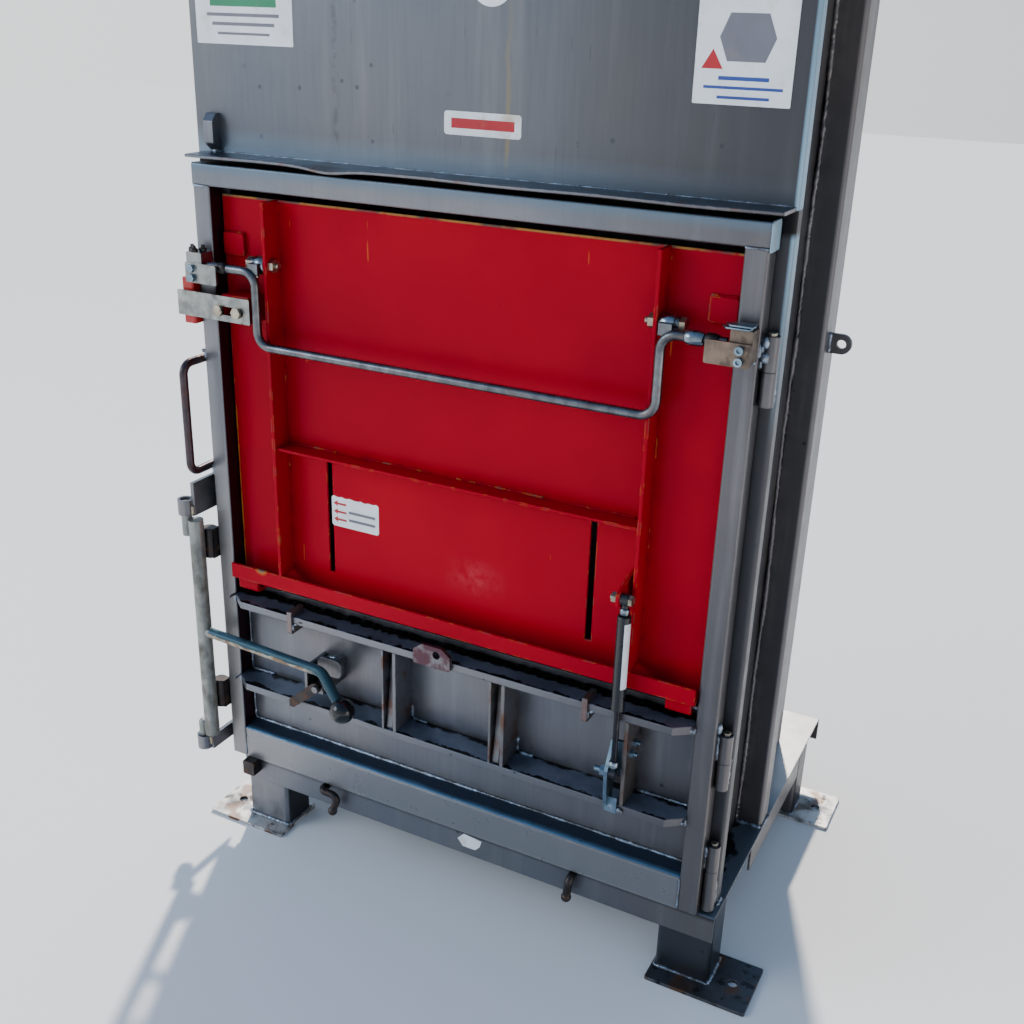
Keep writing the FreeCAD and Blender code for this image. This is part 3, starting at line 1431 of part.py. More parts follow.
def build_front_fittings():
    """What the base and the cabinet carry in front: door rest, strap hooks and the limit switch."""
    rest_x = leaf_left + rest_inset
    rest_top = leaf_low - rest_gap
    rest = box((rest_x, rest_x + rest_width), (base_front - rest_depth, base_front),
               (rest_top - rest_height, rest_top))
    node("door_rest", rounded(rest, rest_round, along("y")))
    hook_z = base_top - strap_hook_drop
    hook_y = base_front - strap_hook_out
    first = leaf_left + strap_hook_first
    second = leaf_right - strap_hook_second
    tip_y = hook_y - strap_hook_tilt
    tip_z = hook_z - strap_hook_length
    corner = first + strap_hook_run
    routes = (
        ([
            (first, base_front, hook_z), (first, hook_y, hook_z), (corner, hook_y, hook_z - strap_hook_tilt),
            (corner - strap_hook_back, tip_y, tip_z),
        ], [strap_hook_small, strap_hook_bend]),
        ([
            (second, base_front, hook_z), (second, hook_y, hook_z), (second - strap_hook_tilt, tip_y, tip_z),
        ], strap_hook_bend),
    )
    hooks = [
        fuse(rod(route, strap_hook, bends), ball(*route[-1], strap_hook_knob)) for route, bends in routes
    ]
    group("strap_hooks", hooks)
    sensor_low = flag_low - sensor_drop
    sensor = box(
        (leaf_left - sensor_clear - sensor_width, leaf_left - sensor_clear),
        (flag_front + flag_thick + sensor_gap, front_face),
        (sensor_low, sensor_low + sensor_height))
    node("flap_sensor", rounded(sensor, sensor_round, along("z")))


def build_press():
    """The hydraulic press: cylinder, rod and platen."""
    tube = cylinder(press_x, press_y, press_low, press_radius, press_high - press_low)
    flange = cylinder(press_x, press_y, deck, flange_radius, flange_thick)
    cap = rounded(
        cylinder(press_x, press_y, press_high, press_radius + press_cap_rim, press_cap), press_cap_round,
        ends)
    ports = [
        cylinder(press_x - press_radius - port_reach, press_y, height, port_radius, press_radius, "x")
        for height in (press_low + port_low, deck + port_high)
    ]
    bore_low = press_low + press_gland
    node("press_cylinder", cut(
        fuse(tube, flange, cap, *ports),
        cylinder(press_x, press_y, bore_low, press_bore, press_high - press_end - bore_low),
        cylinder(press_x, press_y, press_low - over, press_rod + press_fit, press_gland + press_end)))
    piston_low = press_high - press_end - piston_gap - piston_length
    node("press_rod", fuse(
        cylinder(press_x, press_y, piston_low, press_bore - press_fit, piston_length),
        cylinder(press_x, press_y, platen_high, press_rod, piston_low - platen_high)))
    front = wall_front + platen_gap
    back = wall_back - wall_thick - guide_depth - platen_gap
    plate = box(
        (-base_half + wall_thick + platen_gap, wall_right - wall_thick - platen_gap), (front, back),
        (platen_low, platen_low + platen_sheet))
    ribs = []
    for step in range(platen_ribs):
        x = press_x + (step - (platen_ribs - 1) / 2) * platen_pitch
        ribs.append(box(
            (x - platen_rib / 2, x + platen_rib / 2), (front + platen_inset, back - platen_inset),
            (platen_low + platen_sheet, platen_high - platen_crown)))
    crown = box(
        (press_x - crown_half_x, press_x + crown_half_x), (press_y - crown_half_y, press_y + crown_half_y),
        (platen_high - platen_crown, platen_high))
    node("press_platen", fuse(plate, crown, *ribs))


def build_power_unit():
    """The oil tank with its motor and pump, the valve block and the two pressure pipes."""
    tank_y = (press_y - tank_front, press_y - tank_front + tank_depth)
    tank_top = deck + tank_height
    outer = rounded(box((tank_left, tank_right), tank_y, (deck, tank_top)), tank_corner, along("z"))
    filler = cylinder(
        tank_right - filler_side, tank_y[1] - filler_back, tank_top, filler_radius, filler_height)
    node("oil_tank", fuse(outer, filler))
    axis_x = (tank_left + tank_right) / 2
    axis_z = tank_top + motor_radius + motor_lift
    motor_front = tank_y[0] + motor_inset
    fins = [
        cylinder(
            axis_x, motor_front + fin_first + fin_pitch * step, axis_z, motor_radius + fin_height, fin_thick,
            "y")
        for step in range(fin_count)
    ]
    motor_back = motor_front + motor_length
    node("pump_motor", fuse(
        cylinder(axis_x, motor_front, axis_z, motor_radius, motor_length, "y"),
        box((axis_x - motor_foot / 2, axis_x + motor_foot / 2),
            (motor_front + motor_foot_front, motor_back - motor_foot_back),
            (tank_top, axis_z - motor_radius / 2)),
        cylinder(axis_x, motor_back, axis_z, motor_radius - motor_step, motor_neck, "y"),
        *fins))
    valve_top = deck + valve_height
    node("valve_block", rounded(
        box((valve_left, valve_right), (press_y - valve_depth / 2, press_y + valve_depth / 2),
            (deck, valve_top)),
        valve_corner, along("z")))
    port_x = press_x - press_radius - port_reach
    pipes = []
    for start, turn in ((valve_top, deck + port_high), (deck, press_low + port_low)):
        pipes.append(rod(
            [(pipe_x, press_y, start), (pipe_x, press_y, turn), (port_x, press_y, turn)],
            pipe_radius, pipe_bend))
    group("pressure_pipes", pipes)


def build_controls():
    """The plain control box with its push buttons and the emergency stop."""
    left = control_right - control_width
    front = front_face - control_depth
    collar = front - collar_thick
    outer = rounded(
        box((left, control_right), (front, front_face), (control_low, control_low + control_height)),
        control_round, along("y"))
    middle = left + control_width / 2
    stop_z = control_low + stop_rise
    button_z = control_low + button_rise
    buttons = (("start_button", middle - button_side), ("return_button", middle + button_side))
    holes = [cylinder(middle, collar - over, stop_z, stop_stem + button_fit, hole_depth, "y")]
    collars = [cylinder(middle, collar, stop_z, stop_disc, collar_thick, "y")]
    for name, x in buttons:
        holes.append(cylinder(x, collar - over, button_z, button_radius + button_fit, hole_depth, "y"))
        collars.append(cylinder(x, collar, button_z, button_radius + collar_rim, collar_thick, "y"))
        cap = cylinder(
            x, collar - button_stand, button_z, button_radius, button_stand + collar_thick + button_root, "y")
        node(name, rounded(cap, button_round, ends))
    node("control_box", cut(fuse(outer, *collars), *holes))
    stem_front = collar - button_stroke - stop_gap
    stem = cylinder(middle, stem_front, stop_z, stop_stem, 2 * button_stroke + button_root, "y")
    head = cylinder(middle, stem_front - stop_head, stop_z, stop_radius, stop_head, "y")
    node("emergency_stop", fuse(stem, rounded(head, stop_round, ends)))


build_base()
build_cabinet()
build_hinges()
build_door()
build_door_fittings()
build_lock()
build_flap()
build_flap_bolts()
build_bail()
build_strut()
build_front_fittings()
build_press()
build_power_unit()
build_controls()
doc.recompute()

for thing in doc.Objects:
    if "Invalid" in thing.State or "Error" in thing.State:
        raise RuntimeError("failed: " + thing.Name + " " + thing.Label)
os.makedirs("parts", exist_ok=True)
for name, thing in nodes:
    shape = thing.Shape
    if shape.isNull() or not shape.isValid():
        raise RuntimeError("bad shape: " + name)
    shape.exportStep("parts/" + name + ".step")
    print(name, len(shape.Solids), round(shape.Volume))
print(len(nodes), "sub-parts")
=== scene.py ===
import bmesh
import bpy
import json
import math
import random
from mathutils import Matrix, Vector


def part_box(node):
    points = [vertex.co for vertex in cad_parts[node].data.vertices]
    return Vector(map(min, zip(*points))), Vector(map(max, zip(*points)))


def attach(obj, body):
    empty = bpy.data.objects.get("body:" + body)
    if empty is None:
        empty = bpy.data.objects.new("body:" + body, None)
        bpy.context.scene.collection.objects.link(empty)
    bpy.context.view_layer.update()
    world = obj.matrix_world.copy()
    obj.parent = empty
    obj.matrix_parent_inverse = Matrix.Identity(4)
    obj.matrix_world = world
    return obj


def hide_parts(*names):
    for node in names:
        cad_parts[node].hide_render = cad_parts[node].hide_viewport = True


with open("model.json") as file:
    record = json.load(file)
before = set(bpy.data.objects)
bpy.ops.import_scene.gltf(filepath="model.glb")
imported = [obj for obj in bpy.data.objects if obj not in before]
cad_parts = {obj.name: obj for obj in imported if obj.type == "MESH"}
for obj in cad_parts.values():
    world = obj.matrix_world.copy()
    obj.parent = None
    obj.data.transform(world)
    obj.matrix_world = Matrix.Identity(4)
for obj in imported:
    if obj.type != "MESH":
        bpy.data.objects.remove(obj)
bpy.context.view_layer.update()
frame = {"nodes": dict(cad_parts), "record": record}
nodes = frame["nodes"]
MM = 0.001

# ---- camera, lights and floor

CAMERA_PLACE = (0.7204, -1.5412, 1.2592)
CAMERA_AZIMUTH = 26.68
CAMERA_ELEVATION = 22.76
CAMERA_ROLL = 1.77
CAMERA_LENS = 42.0
CAMERA_SENSOR = 36.0
CAMERA_RANGE = (0.05, 50.0)

FLOOR_HALF = 14.0
FLOOR_DROP = 0.0005
FLOOR_COLOUR = (0.86, 0.86, 0.86, 1)
FLOOR_ROUGHNESS = 0.9
FLOOR_GLOSS = 0.1

SKY_STEPS = (
    (0.0, (1.20, 1.22, 1.26)),
    (0.30, (0.75, 0.92, 1.15)),
    (0.65, (0.36, 0.56, 0.88)),
    (1.0, (0.16, 0.28, 0.52)),
)
SKY_SIDES = {"From Min": -1.0, "From Max": 0.9, "To Min": 1.25, "To Max": 0.50}

SUN_PLACE = (-1.0, 2.35, 2.6)
SUN_POWER = 5.2
SUN_ANGLE = 2.5
SUN_COLOUR = (1.0, 0.93, 0.83)
AREA_LIGHTS = (
    # name, place, target, size, power, colour
    ("left_fill", (-4.0, -3.6, 2.8), (0, 0, 0.6), (3.0, 2.4), 130, (0.86, 0.93, 1.0)),
    ("right_glow", (3.4, -0.9, 0.5), (0.35, 0, 0.5), (1.6, 1.0), 14, (1.0, 0.90, 0.76)),
)


def show(name, data):
    """A new object in the scene."""
    thing = bpy.data.objects.new(name, data)
    bpy.context.scene.collection.objects.link(thing)
    return thing


def make_camera():
    """The camera stands in front, to the right and above, as in the photograph."""
    data = bpy.data.cameras.new("camera")
    data.lens = CAMERA_LENS
    data.sensor_width = CAMERA_SENSOR
    data.clip_start, data.clip_end = CAMERA_RANGE
    camera = show("camera", data)
    azimuth = math.radians(CAMERA_AZIMUTH)
    elevation = math.radians(CAMERA_ELEVATION)
    roll = math.radians(CAMERA_ROLL)
    back = Vector((
        math.sin(azimuth) * math.cos(elevation),
        -math.cos(azimuth) * math.cos(elevation),
        math.sin(elevation)))
    level = Vector((math.cos(azimuth), math.sin(azimuth), 0.0))
    right = level * math.cos(roll) + back.cross(level) * math.sin(roll)
    up = back.cross(right)
    camera.matrix_world = Matrix((
        (right.x, up.x, back.x, CAMERA_PLACE[0]),
        (right.y, up.y, back.y, CAMERA_PLACE[1]),
        (right.z, up.z, back.z, CAMERA_PLACE[2]),
        (0, 0, 0, 1)))
    bpy.context.scene.camera = camera


def make_floor():
    """A plain pale floor, a little below the feet."""
    half = FLOOR_HALF
    corners = [(-half, -half, 0), (half, -half, 0), (half, half, 0), (-half, half, 0)]
    mesh = bpy.data.meshes.new("floor")
    mesh.from_pydata(corners, [], [(0, 1, 2, 3)])
    floor = show("floor", mesh)
    floor.location.z = -FLOOR_DROP
    material = bpy.data.materials.new("floor")
    material.use_nodes = True
    shader = material.node_tree.nodes["Principled BSDF"]
    shader.inputs["Base Color"].default_value = FLOOR_COLOUR
    shader.inputs["Roughness"].default_value = FLOOR_ROUGHNESS
    shader.inputs["Specular IOR Level"].default_value = FLOOR_GLOSS
    mesh.materials.append(material)


def make_sky():
    """A soft sky that is bluer towards the top and darker towards the right."""
    world = bpy.data.worlds.new("studio")
    bpy.context.scene.world = world
    world.use_nodes = True
    tree = world.node_tree
    join = tree.links.new
    background = tree.nodes["Background"]
    background.inputs["Strength"].default_value = 1.0
    place = tree.nodes.new("ShaderNodeTexCoord")
    split = tree.nodes.new("ShaderNodeSeparateXYZ")
    ramp = tree.nodes.new("ShaderNodeValToRGB")
    side = tree.nodes.new("ShaderNodeMapRange")
    shade = tree.nodes.new("ShaderNodeVectorMath")
    shade.operation = "SCALE"
    for key, value in SKY_SIDES.items():
        side.inputs[key].default_value = value
    join(place.outputs["Generated"], split.inputs[0])
    join(split.outputs["Z"], ramp.inputs[0])
    join(split.outputs["X"], side.inputs["Value"])
    join(ramp.outputs["Color"], shade.inputs[0])
    join(side.outputs["Result"], shade.inputs["Scale"])
    join(shade.outputs["Vector"], background.inputs["Color"])
    points = ramp.color_ramp.elements
    for number, (stop, colour) in enumerate(SKY_STEPS):
        point = points[number] if number < 2 else points.new(stop)
        point.position = stop
        point.color = (*colour, 1.0)


def aim(light, place, target):
    """Puts a light at a place and turns it towards a point."""
    light.location = place
    light.rotation_mode = "QUATERNION"
    light.rotation_quaternion = (Vector(target) - Vector(place)).to_track_quat("-Z", "Y")


def make_lights():
    """The sun behind the machine on the left, and soft rectangles on both sides in front."""
    data = bpy.data.lights.new("sun", "SUN")
    data.energy = SUN_POWER
    data.angle = math.radians(SUN_ANGLE)
    data.color = SUN_COLOUR
    aim(show("sun", data), SUN_PLACE, (0, 0, 0))
    for name, place, target, size, power, colour in AREA_LIGHTS:
        data = bpy.data.lights.new(name, "AREA")
        data.shape = "RECTANGLE"
        data.size, data.size_y = size
        data.energy = power
        data.color = colour
        aim(show(name, data), place, target)


# ---- material building blocks

NOISE_ROUGHNESS = 0.55
SPECK_CORE = 0.6
EDGE_SAMPLES = 2
EDGE_SPAN = (0.995, 0.88)
CORNER_SAMPLES = 2
CORNER_SPAN = (0.62, 0.25)


class Nodes:
    """Adds shader nodes to one material and links them. Masks run from 0 to 1."""

    def __init__(self, name):
        self.material = bpy.data.materials.new(name)
        self.material.use_nodes = True
        self.tree = self.material.node_tree
        self.shader = self.tree.nodes["Principled BSDF"]
        coordinates = self.tree.nodes.new("ShaderNodeTexCoord")
        self.place = coordinates.outputs["Object"]
        self.normal = coordinates.outputs["Normal"]
        self.soft = None
        self.body = None

    def link(self, source, target):
        """Links a socket, or writes a number, a vector or a colour on the target itself."""
        if isinstance(source, (int, float)):
            target.default_value = source
        elif isinstance(source, (tuple, list)):
            target.default_value = (*source, 1.0)[:len(target.default_value)]
        else:
            self.tree.links.new(source, target)

    def add(self, kind, inputs, **settings):
        """A new node with what goes into it and its settings."""
        node = self.tree.nodes.new(kind)
        for key, value in settings.items():
            setattr(node, key, value)
        for key, source in inputs.items():
            self.link(source, node.inputs[key])
        return node

    def stretch(self, scale):
        """The place on the piece, stretched if a scale is given."""
        if not scale:
            return self.place
        return self.add("ShaderNodeMapping", {"Vector": self.place, "Scale": scale}).outputs["Vector"]

    def noise(self, scale, detail=4.0, stretch=None):
        """Cloudy noise around 0.5."""
        return self.add("ShaderNodeTexNoise", {
            "Vector": self.stretch(stretch), "Scale": scale, "Detail": detail,
            "Roughness": NOISE_ROUGHNESS}).outputs["Fac"]

    def specks(self, scale, size, share, stretch=None):
        """Sparse small spots: 1 inside a spot."""
        cells = self.add("ShaderNodeTexVoronoi", {"Vector": self.stretch(stretch), "Scale": scale})
        near = self.ramp(cells.outputs["Distance"], size, size * SPECK_CORE)
        chosen = self.ramp(self.axis("X", cells.outputs["Color"]), 1.0 - share, 1.02 - share)
        return self.both(near, chosen)

    def ramp(self, value, low, high):
        """0 at the first limit and beyond, 1 at the second and beyond."""
        return self.add("ShaderNodeMapRange", {
            "Value": value, "From Min": low, "From Max": high}, clamp=True).outputs["Result"]

    def math(self, operation, first, second=0.0):
        return self.add("ShaderNodeMath", {0: first, 1: second}, operation=operation).outputs[0]

    def both(self, *masks):
        """The product of masks and strengths."""
        result = masks[0]
        for mask in masks[1:]:
            result = self.math("MULTIPLY", result, mask)
        return result

    def inverse(self, mask):
        return self.math("SUBTRACT", 1.0, mask)

    def away(self, value, place):
        """How far a value is from a place, to either side."""
        return self.math("ABSOLUTE", self.math("SUBTRACT", value, place))

    def wobble(self, reach, scale, detail):
        """Noise around 0, half the reach to either side."""
        return self.both(self.math("SUBTRACT", self.noise(scale, detail), 0.5), reach)

    def mix(self, factor, first, second):
        """From the first colour to the second."""
        return self.add(
            "ShaderNodeMix", {0: factor, 6: first, 7: second}, data_type="RGBA").outputs[2]

    def coat(self, colour, *masks):
        """Lays a colour over the body where all the masks are 1."""
        self.body = self.mix(self.both(*masks), self.body, colour)

    def axis(self, letter, source=None):
        """One coordinate of the place on the piece in metres, or of another vector."""
        split = self.add("ShaderNodeSeparateXYZ", {0: source or self.place})
        return split.outputs["XYZ".index(letter)]

    def facing(self, letter):
        """One coordinate of the direction the face looks in."""
        return self.axis(letter, self.normal)

    def faces(self, letter, low, high):
        """1 on faces that look along an axis."""
        return self.ramp(self.facing(letter), low, high)

    def patches(self, low, high, scale, detail, stretch=None):
        """1 in ragged patches where the noise passes both limits."""
        return self.ramp(self.noise(scale, detail, stretch), low, high)

    def edges(self, radius):
        """1 on a sharp edge, 0 on a flat face. Bump then starts from the softened edge."""
        self.soft = self.add(
            "ShaderNodeBevel", {"Radius": radius}, samples=EDGE_SAMPLES).outputs[0]
        flat_normal = self.add("ShaderNodeNewGeometry", {}).outputs["Normal"]
        dot = self.add(
            "ShaderNodeVectorMath", {0: self.soft, 1: flat_normal}, operation="DOT_PRODUCT")
        return self.ramp(dot.outputs["Value"], *EDGE_SPAN)

    def corners(self, reach):
        """1 in an inner corner, 0 on open faces."""
        shade = self.add(
            "ShaderNodeAmbientOcclusion", {"Distance": reach}, samples=CORNER_SAMPLES)
        return self.ramp(shade.outputs["AO"], *CORNER_SPAN)

    def bump(self, height, distance, strength):
        """Fine relief, on top of the softened edges if there are any."""
        inputs = {"Height": height, "Distance": distance, "Strength": strength}
        if self.soft:
            inputs["Normal"] = self.soft
        self.link(self.add("ShaderNodeBump", inputs).outputs[0], self.shader.inputs["Normal"])

    def finish(self, roughness, metallic=0.0, gloss=0.5):
        """Gives the shader its values and returns the material."""
        for key, value in (
                ("Base Color", self.body), ("Roughness", roughness), ("Metallic", metallic),
                ("Specular IOR Level", gloss)):
            self.link(value, self.shader.inputs[key])
        return self.material


# ---- grey paint

GREY = (0.185, 0.186, 0.200)
BLUISH = (0.135, 0.152, 0.180)
BROWN = (0.195, 0.170, 0.150)
SLATE = (0.050, 0.068, 0.098)
BLACK = (0.006, 0.006, 0.007)
GRIME_AND_SHADE = (0.010, 0.010, 0.012)
RUST = (0.150, 0.060, 0.028)
BARE = (0.30, 0.29, 0.27)
RIGHT_SHADE = (0.090, 0.079, 0.080)
PALE_RUN = (0.27, 0.27, 0.275)
BRUSHED = (0.085, 0.085, 0.092)


def metal_paint(name, warm=0.35, streak=0.3, dirt=0.5, top=0.75, wear=0.6, rust=0.0, rough=0.36,
                soft=0.0018, marks=None):
    """Sprayed metallic grey: cloudy blue and brown shade, painted shade to the right, runs, specks, painted
    dark sky reflection and dust on top faces, painted shade and dirt in corners, worn edges.
    """
    n = Nodes(name)
    cloud = n.patches(0.38, 0.64, 2.6, 5)
    n.body = n.mix(cloud, GREY, BLUISH)
    # painted shade: grey parts further to the right are darker
    n.coat(RIGHT_SHADE, n.ramp(n.axis("X"), 0.10, 0.38), 0.75)
    n.coat(BROWN, n.patches(0.48, 0.66, 3.4, 3, (1, 1, 0.6)), warm)
    n.coat(PALE_RUN, n.patches(0.52, 0.72, 26, 5, (1.6, 1.6, 0.10)), streak)
    n.coat(BRUSHED, n.patches(0.46, 0.74, 170, 5, (1.2, 1.2, 0.06)), streak * 0.6)
    # painted dark sky reflection, with some dust, on faces that look up
    n.coat(SLATE, n.faces("Z", 0.45, 0.85), top)
    # painted shade with dirt in inner corners
    n.coat(GRIME_AND_SHADE, n.corners(0.035), n.patches(0.36, 0.60, 38, 5), 0.85)
    patch = n.patches(0.42, 0.60, 5, 3)
    spots = n.both(n.specks(46, 0.16, 0.10), dirt)
    fine = n.both(n.patches(0.70, 0.74, 210, 3), patch, dirt)
    n.coat(BLACK, n.math("MAXIMUM", spots, fine))
    breakup = n.patches(0.52, 0.60, 110, 4)
    n.coat(BARE, n.edges(soft), breakup, wear)
    if rust:
        n.coat(RUST, n.patches(0.52, 0.64, 34, 6), rust)
    if marks:
        marks(n)
    n.bump(n.noise(380, 2), 0.00010, 0.35)
    uneven = n.math("ADD", n.both(n.noise(40, 4), 0.20), rough - 0.10)
    return n.finish(uneven, 0.72, 0.4)


# Places of marks, in metres: a pair holds where a mark begins and where it is full.
YELLOW_RUN_X, DARK_RUN_X = 0.033, -0.212
RUN_FOOT, RUN_HEAD = (1.068, 1.10), (1.30, 1.15)
SPLASH_ABOVE_LIP, LIP_TOP = (1.105, 1.074), (1.069, 1.072)
PANEL_RIGHT = (0.02, 0.34)
JAMB_EDGE, JAMB_RISE = (0.3895, 0.3915), (0.80, 1.10)
GAP_TOP, GAP_FOOT = (1.0690, 1.0675), (1.036, 1.044)
STILE_PALE = (0.85, 0.45)
TOP_RAIL_EDGE = (1.044, 1.056)
EYE_PLATE_LEFT, EYE_PLATE_RIGHT = (-0.068, -0.062), (0.008, 0.002)
PAN_WET, PAN_PALE, PAN_SHADE_SEAM = (-0.01, -0.04), (0.02, 0.10), (0.1135, 0.1215)
FOOT_PLATE, FOOT_LOW_DARKENING, ABOVE_FOOT = (0.007, 0.004), (0.075, 0.006), (0.006, 0.009)
LEFT_FEET, REAR_FEET = (-0.20, -0.25), (0.0, 0.05)
RIGHT_CORNER, FRONT_CORNER = (0.1, 0.2), (-0.1, -0.15)
UPPER_SHELF, SHELF_NOSE = (0.34, 0.36), (-0.2745, -0.2765)
THIN_SHADOW_DIRT, WIDE_SHADOW_DIRT = (-0.243, -0.238), (-0.252, -0.246)
SLOPE_EDGE, RAIL_LIP = (-0.2510, -0.2590), (0.1275, 0.1245)


def panel_marks(n):
    """Front sheet: a yellow run below the small label, a dark run, scratches, painted shade to the right, a
    painted blue sky reflection on the edge by the mouth, a painted black shadow under the lip.
    """
    x, z = n.axis("X"), n.axis("Z")
    n.coat((0.075, 0.080, 0.090), 0.50)
    wander = n.both(n.noise(30, 2, (0.2, 0.2, 1)), 0.010)
    run = n.ramp(n.away(n.math("SUBTRACT", x, wander), YELLOW_RUN_X), 0.0045, 0.0)
    length = n.both(n.ramp(z, *RUN_FOOT), n.ramp(z, *RUN_HEAD))
    n.coat((0.26, 0.20, 0.075), run, length, 0.5)
    second = n.ramp(n.away(n.math("SUBTRACT", x, wander), DARK_RUN_X), 0.006, 0.0)
    broken = n.patches(0.45, 0.6, 60, 3)
    n.coat((0.055, 0.050, 0.045), second, broken, 0.45)
    n.coat((0.045, 0.047, 0.052), n.patches(0.735, 0.75, 22, 1, (14, 14, 0.8)), 0.5)
    n.coat((0.17, 0.25, 0.33), n.ramp(z, *SPLASH_ABOVE_LIP), n.ramp(z, *LIP_TOP), 0.55)
    # painted shade: the sheet is darker towards the right
    n.coat((0.042, 0.043, 0.048), n.ramp(x, *PANEL_RIGHT), 0.70)
    # painted sky reflection: a blue edge by the mouth, bluer higher up
    n.coat((0.20, 0.32, 0.42), n.ramp(x, *JAMB_EDGE), n.ramp(z, *JAMB_RISE))
    # painted black shadow under the lip
    n.coat(BLACK, n.ramp(z, *GAP_TOP), n.ramp(z, *GAP_FOOT))


def stile_marks(n):
    """Left stile: the inner face has painted shade with a painted red reflection of the flap, the front is
    paler low down.
    """
    # painted shade with a painted red reflection of the flap on the inner face
    n.coat((0.030, 0.008, 0.013), n.faces("X", 0.75, 0.95))
    n.coat((0.30, 0.285, 0.27), n.faces("Y", -0.75, -0.95), n.ramp(n.axis("Z"), *STILE_PALE), 0.5)


def top_rail_marks(n):
    """Top rail: a painted black shadow on top, under the lip, and a painted bluish sky reflection on the
    upper edge.
    """
    # painted black shadow on the top face, under the lip
    n.coat(BLACK, n.faces("Z", 0.80, 0.95))
    # painted bluish sky reflection along the upper front edge
    n.coat((0.10, 0.16, 0.22), n.ramp(n.axis("Z"), *TOP_RAIL_EDGE), n.faces("Y", -0.6, -0.9), 0.75)


def tab_marks(n):
    """Shelf tabs: the plate with the hole is purple-brown, the tabs are pinkish."""
    x = n.axis("X")
    middle = n.both(n.ramp(x, *EYE_PLATE_LEFT), n.ramp(x, *EYE_PLATE_RIGHT))
    wear = n.patches(0.40, 0.56, 55, 5)
    n.coat((0.085, 0.038, 0.050), middle, wear)
    n.coat((0.20, 0.135, 0.125), n.inverse(middle), wear, 0.75)


def pan_marks(n):
    """Base pan: a painted bluish sky reflection on top, wet-looking dirt in front of the column, painted
    sunlight that makes the plate pale behind it, painted shade and dirt in a dark seam under the rail in
    front.
    """
    up, y = n.faces("Z", 0.6, 0.9), n.axis("Y")
    # painted bluish sky reflection on faces that look up
    n.coat((0.15, 0.185, 0.23), up)
    pools = n.patches(0.50, 0.53, 13, 3, (1, 0.7, 1))
    n.coat((0.010, 0.012, 0.018), pools, n.ramp(y, *PAN_WET), up)
    # painted sunlight: the plate behind the column is pale
    n.coat((0.48, 0.46, 0.44), n.ramp(y, *PAN_PALE), up, 0.85)
    # painted shade with dirt under the rail's overhang
    n.coat((0.008, 0.008, 0.010), n.ramp(n.axis("Z"), *PAN_SHADE_SEAM), n.faces("Y", -0.7, -0.9))


def foot_marks(n):
    """Legs: rust, and pale painted sunlight in patches on the left and rear foot plates, darker in patches
    towards the bottom, painted shade on the right faces and on the front right leg.
    """
    z, x, y = n.axis("Z"), n.axis("X"), n.axis("Y")
    low = n.ramp(z, *FOOT_PLATE)
    away = n.math("MAXIMUM", n.ramp(x, *LEFT_FEET), n.ramp(y, *REAR_FEET))
    # pale painted sunlight in patches on the left and rear foot plates
    n.coat((0.72, 0.70, 0.67), low, away, n.patches(0.30, 0.42, 15, 5))
    n.coat((0.17, 0.075, 0.035), low, n.patches(0.53, 0.60, 24, 6))
    n.coat(BLACK, low, n.patches(0.60, 0.66, 60, 4))
    # darker in patches towards the bottom
    n.coat((0.045, 0.042, 0.040), n.ramp(z, *FOOT_LOW_DARKENING), n.patches(0.46, 0.66, 28, 6), 0.8)
    above = n.ramp(z, *ABOVE_FOOT)
    # painted shade on faces that look right
    n.coat((0.012, 0.013, 0.018), n.faces("X", 0.7, 0.9), above, 0.90)
    # painted shade on the front right leg
    n.coat((0.026, 0.032, 0.042), n.ramp(x, *RIGHT_CORNER), n.ramp(y, *FRONT_CORNER), above, 0.80)


def shelf_marks(n):
    """Shelves: a painted bluish sky reflection with dust on top, a ragged black band of painted shadow and
    dirt along the back, wider on the upper one, and ragged black dirt along the front edge.
    """
    up, y = n.faces("Z", 0.6, 0.9), n.axis("Y")
    # painted bluish sky reflection with dust on faces that look up
    slate = n.mix(n.patches(0.4, 0.6, 18, 4), (0.21, 0.24, 0.32), (0.13, 0.155, 0.21))
    n.coat(slate, up)
    # painted shadow and dirt in a ragged black band along the back of the shelves
    ragged = n.math("ADD", y, n.wobble(0.035, 42, 5))
    upper = n.ramp(n.axis("Z"), *UPPER_SHELF)
    thin = n.both(n.ramp(ragged, *THIN_SHADOW_DIRT), n.inverse(upper))
    rear = n.both(up, n.math("MAXIMUM", thin, n.both(n.ramp(ragged, *WIDE_SHADOW_DIRT), upper)))
    front = n.both(up, n.ramp(ragged, *SHELF_NOSE))
    n.coat(BLACK, n.math("MAXIMUM", rear, front))
    n.coat((0.03, 0.022, 0.02), n.faces("Y", -0.8, -0.95), n.specks(58, 0.24, 0.10, (1, 1, 2)))


def rail_marks(n):
    """Bottom rail: a painted sky reflection that makes the slope dark with a sky-blue front edge, and a
    painted pale highlight on the lower lip.
    """
    n.coat(PALE_RUN, n.faces("Y", -0.7, -0.9), 0.6)
    slope = n.faces("Z", 0.70, 0.95)
    ragged = n.math("ADD", n.axis("Y"), n.wobble(0.006, 26, 3))
    # painted sky reflection: the slope dark, its front edge bright blue
    n.coat((0.020, 0.040, 0.085), slope, 0.8)
    n.coat((0.16, 0.38, 0.62), slope, n.ramp(ragged, *SLOPE_EDGE), 0.9)
    # painted highlight along the lower lip
    n.coat((0.36, 0.36, 0.36), n.ramp(n.axis("Z"), *RAIL_LIP), 0.6)


def weld_marks(n):
    """Weld beads: pale blue heat colour in patches."""
    n.coat((0.34, 0.42, 0.52), n.patches(0.4, 0.6, 70, 3), 0.8)


# ---- red paint

